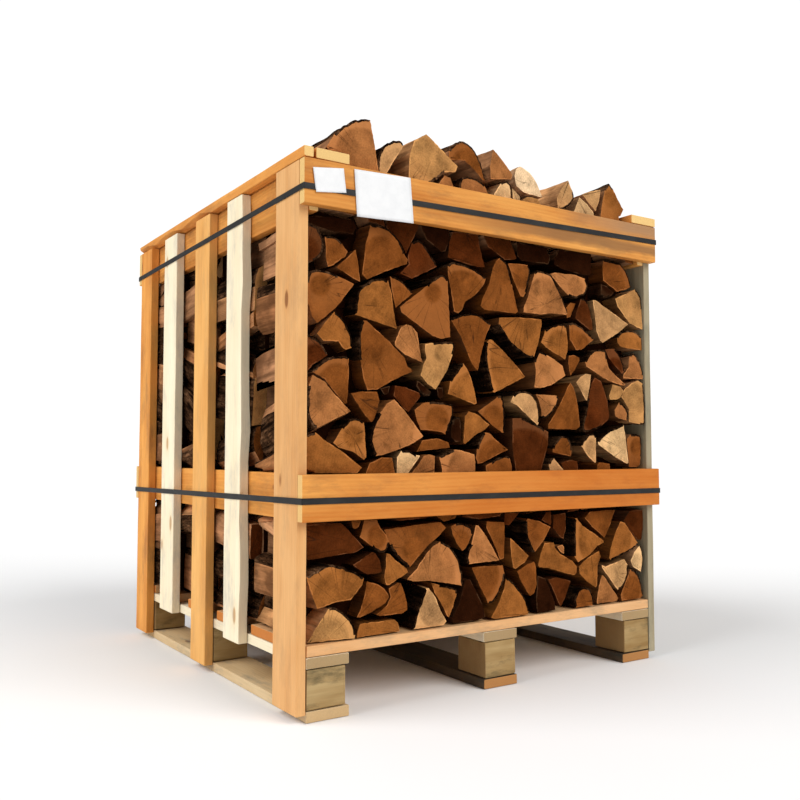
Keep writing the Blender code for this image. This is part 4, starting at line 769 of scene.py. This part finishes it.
def bark_finish():
    """Oak bark: grey brown plates with deep dark furrows along the trunk."""
    material, shader, grain = new_finish("oak_bark", 0.92, 0.0)
    bends = grain.add("TexNoise", {}, {"Vector": grain.stretched(22.0, 40.0, 40.0),
                                       "Scale": 1.0, "Detail": 3.0}, output=1).evenly(2.4)
    warped = grain.add("VectorMath", {"operation": "ADD"},
                       {0: grain.stretched(30.0, 85.0, 85.0), 1: bends})
    plates = grain.add("TexVoronoi", {"feature": "DISTANCE_TO_EDGE"},
                       {"Vector": warped, "Scale": 1.0}).rising(0.0, 0.40)
    furrows = grain.stretched(10.0, 75.0, 75.0).speckle(4.0, 0.6).rising(0.40, 0.58)
    crust = grain.stretched(110.0, 190.0, 190.0).speckle(6.0, 0.75)
    patches = grain.stretched(9.0, 14.0, 14.0).speckle(4.0, 0.6)
    relief = furrows * (0.35 + 0.65 * plates)
    colour = grain.paint(0.010, 0.005, 0.003)
    colour = colour.tinted(relief * crust.rising(0.35, 0.62), (0.20, 0.092, 0.042))
    colour = colour.tinted(patches.rising(0.48, 0.60) * relief * 0.8,
                           (0.34, 0.17, 0.082))
    # Painted shade: bark inside the stack, out of daylight, is made darker.
    open_air = grain.mark("open_air")
    colour = colour.shaded(0.40 + 0.60 * open_air)
    finish_with(shader, colour, relief * 0.9 + crust * 0.6, 1.0, 0.008)
    return material


sawn_end = sawn_end_finish()
split_face = split_face_finish()
bark_crust = bark_finish()
END, SPLIT, BARK = 0, 1, 2


def front_view(points):
    """Outline in metres, X and Z, from one in millimetres.

    The list falls short by about a hundredth across, and upwards from the middle rail.
    """
    across, missing, rail = 0.010105, 0.0115, 47.1
    outline = []
    for x, z in points:
        up = z / 10 + max(0.0, z / 10 - rail) * missing
        outline.append(Vector((x / 10 * across - 0.5, up / 100)))
    return outline


def heart_of(outline, bark):
    """Where the middle of the trunk was, and how far the bark lies from it, in metres.

    It is the centre of the bark's round, or else it lies past the far corner. A log without
    bark opposite that corner has its bark out of reach, at one metre.
    """
    middle = sum(outline, Vector((0.0, 0.0))) / len(outline)
    if bark and bark[1] - bark[0] > 1:
        first, last = outline[bark[0]], outline[bark[1] % len(outline)]
        top = outline[(bark[0] + bark[1]) // 2]
        chord = (last - first) / 2
        rise = (top - (first + last) / 2).length
        radius = (chord.length ** 2 + rise ** 2) / (2 * max(rise, 0.004))
        radius = min(max(radius, 0.035), 0.13)
        return top + (middle - top).normalized() * radius, radius
    far = max(outline, key=lambda point: (point - middle).length)
    heart = far + (far - middle) * 0.15
    if bark:
        bark_at = ((outline[bark[0]] + outline[bark[1] % len(outline)]) / 2 - heart).length
        if bark_at > 0.75 * max((point - heart).length for point in outline):
            return heart, bark_at
    return heart, 1.0


def uneven_outline(outline, bark, spacing, number):
    """The outline with more corners, a little uneven, and whether a side has bark."""
    corners, barky = [], []
    twice_area = sum(a.cross(b) for a, b in zip(outline, outline[1:] + outline[:1]))
    turn = -1.0 if twice_area > 0 else 1.0
    for index, corner in enumerate(outline):
        side = outline[(index + 1) % len(outline)] - corner
        rough = bool(bark) and bark[0] <= index < bark[1]
        steps = max(1, round(side.length / spacing))
        outward = Vector((-side.y, side.x)).normalized() * turn
        for step in range(steps):
            spot = corner + side * (step / steps)
            swell = noise.noise(Vector((spot.x * 120, spot.y * 120, number * 3.7)))
            swell *= 0.0022 if rough else 0.0010
            swell += 0.0008 * noise.noise(Vector((spot.x * 330, spot.y * 330, number * 1.9)))
            if rough:
                swell += 0.0012 * math.sin(math.pi * step / steps)
            corners.append(spot + outward * swell)
            barky.append(rough)
    return corners, barky


INSIDE_BOARDS, INSIDE_RAILS = 0.4775, 0.4555    # from the middle of the crate
CAP_EDGE, CAP_UNDERSIDE, CAP_TOP = 0.396, 1.0825, 1.1055
DECK_TOP = 0.1452
BARK_RELIEF, SPLIT_RELIEF, BARE_RIM = 0.0048, 0.0038, 0.0036
# Beyond these, log sides get painted daylight in their colour; within them, painted shade.
DAYLIT_SIDE, DAYLIT_TOP = 0.40, 0.97    # beyond these, log sides are in the open


def beside_rails(height):
    """Whether the middle or the top side rails run at this height."""
    return 0.372 < height < 0.478 or height > 0.978


def keep_clear(vert):
    """Hold a point clear of the side boards and rails, the caps and the deck."""
    reach = INSIDE_RAILS if beside_rails(vert.co.z) else INSIDE_BOARDS
    vert.co.x = min(max(vert.co.x, -reach), reach)
    if abs(vert.co.x) > CAP_EDGE and CAP_UNDERSIDE < vert.co.z < CAP_TOP:
        vert.co.z = CAP_UNDERSIDE if vert.co.z < (CAP_UNDERSIDE + CAP_TOP) / 2 else CAP_TOP
    vert.co.z = max(vert.co.z, DECK_TOP)


def drawn_out(bm, corners, barky, start, end, cuts):
    """Draw the outline out along Y, and tell its sawn ends, split sides and bark apart."""
    ring = [bm.verts.new((corner.x, start, corner.y)) for corner in corners]
    face = bm.faces.new(ring)
    bmesh.ops.extrude_face_region(bm, geom=[face], use_keep_orig=True)
    near = set(ring)
    far = [vert for vert in bm.verts if vert not in near]
    bmesh.ops.translate(bm, vec=(0.0, end - start, 0.0), verts=far)
    bmesh.ops.recalc_face_normals(bm, faces=bm.faces)
    for side in bm.faces:
        side.material_index = END if abs(side.normal.y) > 0.9 else SPLIT
    for index, vert in enumerate(ring):
        following = ring[(index + 1) % len(ring)]
        for side in vert.link_faces:
            if following in side.verts and side.material_index == SPLIT and barky[index]:
                side.material_index = BARK
    long_edges = [edge for edge in bm.edges if abs(edge.verts[0].co.y - edge.verts[1].co.y) > 0.01]
    bmesh.ops.subdivide_edges(bm, edges=long_edges, cuts=cuts)


def edge_the_ends(bm, width):
    """A narrow border round both sawn ends; beside bark it shows the bark's thickness."""
    caps = [side for side in bm.faces if side.material_index == END]
    border = bmesh.ops.inset_individual(bm, faces=caps, thickness=width, depth=0.0,
                                        use_even_offset=True)["faces"]
    for side in border:
        beside = [face for edge in side.edges for face in edge.link_faces]
        if any(face.material_index == BARK for face in beside if face not in border):
            side.material_index = BARK


def roughened(bm, start, end, middle, number, rim):
    """Make the sides uneven and wear the rims of the ends back; returns the rims' points."""
    at_the_saw_cut, least_wear, more_wear = 0.0005, 0.0006, 0.0012
    rims = []
    for vert in bm.verts:
        outward = Vector((vert.co.x - middle.x, 0.0, vert.co.z - middle.y)).normalized()
        kinds = {face.material_index for face in vert.link_faces}
        at_end = min(vert.co.y - start, end - vert.co.y) < at_the_saw_cut
        if kinds == {END} or (END in kinds and not at_end):
            continue
        push = noise.noise(Vector((vert.co.x * 55, vert.co.y * 22, vert.co.z * 55 + number)))
        if not at_end:
            vert.co += outward * push * (BARK_RELIEF if BARK in kinds else SPLIT_RELIEF)
        elif rim and any(abs(face.normal.y) < 0.5 for face in vert.link_faces):
            inward = 1.0 if vert.co.y < (start + end) / 2 else -1.0
            vert.co.y += inward * (least_wear + more_wear * abs(push))
            rims.append(vert)
    return rims


def leaned(bm, start, end, middle, number, lean, pivot):
    """Lean the log a little about a place along it, with its ends sawn slightly askew.

    The lowest logs lie flat on the deck.
    """
    chance = noise.noise_vector(Vector((number * 1.7, number * 0.9, 3.3)))
    tilt = noise.noise_vector(Vector((number * 0.7, 5.5, number * 1.3)))
    above_deck = min(max((middle.y - 0.16) / 0.12, 0.0), 1.0)
    most_askew = 0.003
    for vert in bm.verts:
        along = (vert.co.y - start) / (end - start) - pivot
        if min(vert.co.y - start, end - vert.co.y) < most_askew:
            slope = (vert.co.x - middle.x) * tilt.x + (vert.co.z - middle.y) * tilt.z
            vert.co.y += max(-most_askew, slope * 0.25)
        vert.co.x += along * lean * chance.x * 0.3
        vert.co.z += along * lean * chance.z * above_deck
        keep_clear(vert)


def split_log(outline, bark, start, end, tone, number, spacing=0.007, cuts=6, rim=True,
              rind=0.0045, lean=0.03, pivot=0.0, daylight=1.0):
    """One log as a mesh, with its grain about the heart, and painted shade on its sides where no
    daylight reaches.
    """
    corners, barky = uneven_outline(outline, bark, spacing, number)
    heart, bark_at = heart_of(outline, bark)
    middle = sum(outline, Vector((0.0, 0.0))) / len(outline)
    bm = bmesh.new()
    grain = bm.verts.layers.float_vector.new("grain")
    tint = bm.verts.layers.float_color.new("tone")
    edge_of_end = bm.verts.layers.float.new("rim")
    open_air = bm.verts.layers.float.new("open_air")
    drawn_out(bm, corners, barky, start, end, cuts)
    if rim:
        edge_the_ends(bm, rind if bark else BARE_RIM)
    rims = roughened(bm, start, end, middle, number, rim)
    turn = Matrix.Rotation(number * 2.4, 2)
    for vert in bm.verts:
        away = Vector((vert.co.x, vert.co.z)) - heart
        away.rotate(turn)
        vert[grain] = (vert.co.y + number * 0.317, away.x, away.y)
        vert[tint] = (*SPLIT_OAK[tone], bark_at)
        # How much painted daylight a side gets, by where it lies; the rest is painted shade.
        outside = max(abs(vert.co.x) - DAYLIT_SIDE, vert.co.z - DAYLIT_TOP) / 0.03
        vert[open_air] = min(max(outside, 0.0), 1.0) * daylight
    for vert in rims:
        vert[edge_of_end] = 1.0
    leaned(bm, start, end, middle, number, lean, pivot)
    for edge in bm.edges:
        edge.smooth = edge.calc_face_angle(0.0) < 0.6
    for side in bm.faces:
        side.smooth = side.material_index != END
    mesh = bpy.data.meshes.new("log")
    bm.to_mesh(mesh)
    bm.free()
    return mesh


def log_piece(name, logs, node):
    """Several logs as one piece in place of their CAD node."""
    bm = bmesh.new()
    for mesh in logs:
        bm.from_mesh(mesh)
        bpy.data.meshes.remove(mesh)
    joined = bpy.data.meshes.new(name)
    bm.to_mesh(joined)
    bm.free()
    for finish in (sawn_end, split_face, bark_crust):
        joined.materials.append(finish)
    link_piece(name, joined, "oak_log", node)


FRONT_FACE, FRONT_ROW_BACK = -0.496, -0.258
front_row = []
for number, (tone, recess, bark, *points) in enumerate(FRONT_LOGS):
    outline = front_view(points)
    at_left_boards = min(point.x for point in outline) < -0.45
    front_row.append(split_log(outline, bark, FRONT_FACE + recess / 1000, FRONT_ROW_BACK, tone,
                               number, spacing=0.0055, lean=0.12 if at_left_boards else 0.03))


def squared_logs(front, back, reach):
    """Squared logs behind the others along both sides, that close the gaps there; their near-black
    tone x and weak daylight are painted shade.
    """
    logs = []
    lowest, pitch, height, inner, ridge = 0.150, 0.11, 0.114, 0.34, 0.32
    for number in range(16):
        low = lowest + (number // 2) * pitch
        outline = [Vector((side, low + up)) for side, up in (
            (reach, 0.0), (inner, 0.0), (ridge, 0.055), (inner, height), (reach, height))]
        if number % 2:
            outline = [Vector((-point.x, point.y)) for point in outline]
        bark = (4, 5) if number % 3 else None
        logs.append(split_log(outline, bark, front, back, "x", number, spacing=0.02, cuts=1,
                              rim=False, lean=0.0, daylight=0.55))
    return logs


front_row += squared_logs(front=-0.445, back=-0.262, reach=0.45)
log_piece("stacked_front_logs", front_row, "log_row_front")


# Rows behind. The three rows behind the front one are the same stack again, turned round
# or over, and kept clear of the side rails. Again squared logs close the side gaps.

STACK_SUM = 1.229    # the height of the deck and that of the stack's top together


def turned(outline, mirrored, upside_down, width=1.0, drop=0.0):
    """The outline for a row further back: turned round or over, and clear of the rails."""
    side = -width if mirrored else width
    lowest, between_rails, between_boards = 0.1475, 0.454, 0.476
    result = []
    for point in outline:
        up = max(STACK_SUM - point.y if upside_down else point.y - drop, lowest)
        reach = between_rails if beside_rails(up) else between_boards
        result.append(Vector((min(max(point.x * side, -reach), reach), up)))
    return result


LOG_LENGTH, ROW_PITCH, ROW_GAP = 0.242, 0.25, 0.004
for row, place in enumerate(("second", "third", "back"), start=1):
    front = -0.5 + row * ROW_PITCH + ROW_GAP
    back = front + LOG_LENGTH
    mirrored, upside_down = row in (1, 2), row in (2, 3)
    logs = []
    for number, (tone, recess, bark, *points) in enumerate(FRONT_LOGS, start=row * 200):
        outline = turned(front_view(points), mirrored, upside_down)
        shows = max(abs(point.x) for point in outline) > 0.36 or max(p.y for p in outline) > 1.0
        start = front + (0.012 if row == 3 else 0.004 + recess / 1500)
        end = back - (recess / 1000 if row == 3 else 0.012)
        fine = row == 3 or shows
        logs.append(split_log(outline, bark, start, end, tone, number,
                              spacing=0.012 if fine else 0.06, cuts=6 if shows else 1,
                              rim=row == 3, lean=0.13, pivot=0.5, daylight=0.85))
    for number, (_, tone, recess, bark, *points) in enumerate(HEAP_LOGS, start=row * 200 + 150):
        outline = turned(front_view(points), not mirrored, False, width=0.88, drop=0.054)
        logs.append(split_log(outline, bark, front + 0.012 + recess / 1000, back - 0.012, tone,
                              number, spacing=0.010, cuts=7))
    deep, reach = (0.055, 0.472) if row == 3 else (0.006, 0.45)
    logs += squared_logs(front + 0.006, back - deep, reach)
    log_piece(f"stacked_{place}_logs", logs, f"log_row_{place}")


# Heap. Nine loose logs lie across the top of the front row. Each is a wedge or a half
# round, split like the others, and they lean on each other.

HEAP_LOG_LENGTH = 0.236
for number, (name, tone, recess, bark, *points) in enumerate(HEAP_LOGS, start=150):
    start = FRONT_FACE + recess / 1000
    log = split_log(front_view(points), bark, start, start + HEAP_LOG_LENGTH, tone, number,
                    spacing=0.004, cuts=14, rind=0.005)
    log_piece(f"loose_{name}", [log], f"heap_log_{name}")


# Straps. Two woven bands of dark plastic are pulled tight round the whole crate, one over
# the top rails and one over the middle rails.

strap_finish, strap_shader, strap_grain = new_finish("strap_plastic", 0.5, 0.25)
strap_place = strap_grain.add("TexCoord", {}, {}, output=3)
strap_weave = strap_place.stretched(500.0, 500.0, 900.0).speckle(1.0)
strap_dust = strap_place.stretched(20.0, 20.0, 60.0).speckle(4.0, 0.6)
strap_colour = strap_place.paint(0.010, 0.0095, 0.009)
strap_colour = strap_colour.tinted(strap_dust.rising(0.45, 0.75) * 0.5, (0.033, 0.033, 0.031))
finish_with(strap_shader, strap_colour, strap_weave, 0.4, 0.0004)
for name in ("upper_strap", "lower_strap"):
    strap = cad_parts[name]
    strap.data.materials.clear()
    strap.data.materials.append(strap_finish)


# Labels. Two sheets of white paper are stapled over the strap on the front top rail. The
# small one is creased; both are left blank.

paper, paper_shader, paper_grain = new_finish("white_paper", 0.55, 0.4)
paper_place = paper_grain.add("TexCoord", {}, {}, output=3)
paper_fibre = paper_place.evenly(60.0).speckle(3.0, 0.5)
paper_colour = paper_place.paint(0.80, 0.80, 0.80)
paper_colour = paper_colour.tinted(paper_fibre.rising(0.4, 0.8) * 0.4, (0.66, 0.67, 0.68))
finish_with(paper_shader, paper_colour, paper_fibre, 0.3, 0.001)
RAIL_FACE, PAPER_THICKNESS, CREASES_PER_METRE = -0.5238, 0.0003, 34
SMALL_LABEL = ((-0.4818, 1.0632), (-0.4141, 1.0723), (-0.4076, 1.0243), (-0.4749, 1.0153))
LARGE_LABEL = ((-0.3894, 1.0757), (-0.2544, 1.0808), (-0.2468, 0.9863), (-0.3829, 0.9809))
for name, corners, crease in (("small_label", SMALL_LABEL, 0.0010),
                              ("large_label", LARGE_LABEL, 0.0005)):
    bm = bmesh.new()
    bm.faces.new([bm.verts.new((x, RAIL_FACE, z)) for x, z in corners])
    bmesh.ops.subdivide_edges(bm, edges=bm.edges, cuts=12, use_grid_fill=True)
    for vert in bm.verts:
        spot = Vector((vert.co.x, 0.0, vert.co.z)) * CREASES_PER_METRE
        vert.co.y -= crease * (0.5 + noise.noise(spot))
    bmesh.ops.recalc_face_normals(bm, faces=bm.faces)
    if sum(face.normal.y for face in bm.faces) > 0:
        bmesh.ops.reverse_faces(bm, faces=bm.faces)
    bmesh.ops.solidify(bm, geom=bm.faces, thickness=PAPER_THICKNESS)
    for face in bm.faces:
        face.smooth = True
    mesh = bpy.data.meshes.new(f"paper_{name}")
    bm.to_mesh(mesh)
    bm.free()
    mesh.materials.append(paper)
    link_piece(f"paper_{name}", mesh, "paper", name)


# Floor, light and camera. The crate stands on a plain white floor in soft daylight that
# falls from the upper left, and is seen from its left front corner.

floor_finish = bpy.data.materials.new("pale_floor")
floor_finish.use_nodes = True
floor_shader = floor_finish.node_tree.nodes["Principled BSDF"]
floor_shader.inputs["Base Color"].default_value = (0.86, 0.86, 0.86, 1.0)
floor_shader.inputs["Roughness"].default_value = 0.8
bm = bmesh.new()
bmesh.ops.create_grid(bm, x_segments=1, y_segments=1, size=12.0)
mesh = bpy.data.meshes.new("floor")
bm.to_mesh(mesh)
bm.free()
mesh.materials.append(floor_finish)
floor = bpy.data.objects.new("floor", mesh)
bpy.context.scene.collection.objects.link(floor)

world = bpy.context.scene.world or bpy.data.worlds.new("daylight")
bpy.context.scene.world = world
world.use_nodes = True
sky = world.node_tree.nodes["Background"]
sky.inputs["Color"].default_value = (1.0, 1.0, 1.0, 1.0)
by_camera = Wire(world.node_tree).add("LightPath", {}, {})
skylight, backdrop = 0.42, 1.05
strength = skylight + by_camera * (backdrop - skylight)
world.node_tree.links.new(strength.socket, sky.inputs["Strength"])


def soft_light(name, place, spread, power):
    """Wide soft daylight that comes from a direction."""
    lamp = bpy.data.lights.new(name, "SUN")
    lamp.angle = math.radians(spread)
    lamp.energy = power
    light = bpy.data.objects.new(name, lamp)
    light.location = place
    light.rotation_euler = (-Vector(place)).to_track_quat("-Z", "Y").to_euler()
    bpy.context.scene.collection.objects.link(light)


soft_light("daylight_left", (-3.0, 0.6, 2.6), 45.0, 2.1)
soft_light("daylight_front", (1.2, -3.0, 2.4), 40.0, 2.0)

bpy.context.scene.view_settings.view_transform = "Standard"
yaw, pitch = math.radians(33.39), math.radians(3.21)
picture_width, focal_length = 800, 877.7    # in pixels
lens = bpy.data.cameras.new("camera")
lens.sensor_width = 36
lens.lens = focal_length / picture_width * lens.sensor_width
camera = bpy.data.objects.new("camera", lens)
camera.location = (-1.259, -2.008, 0.519)
ahead = Vector((math.sin(yaw) * math.cos(pitch), math.cos(yaw) * math.cos(pitch),
                math.sin(pitch)))
camera.rotation_euler = ahead.to_track_quat("-Z", "Y").to_euler()
bpy.context.scene.collection.objects.link(camera)
bpy.context.scene.camera = camera
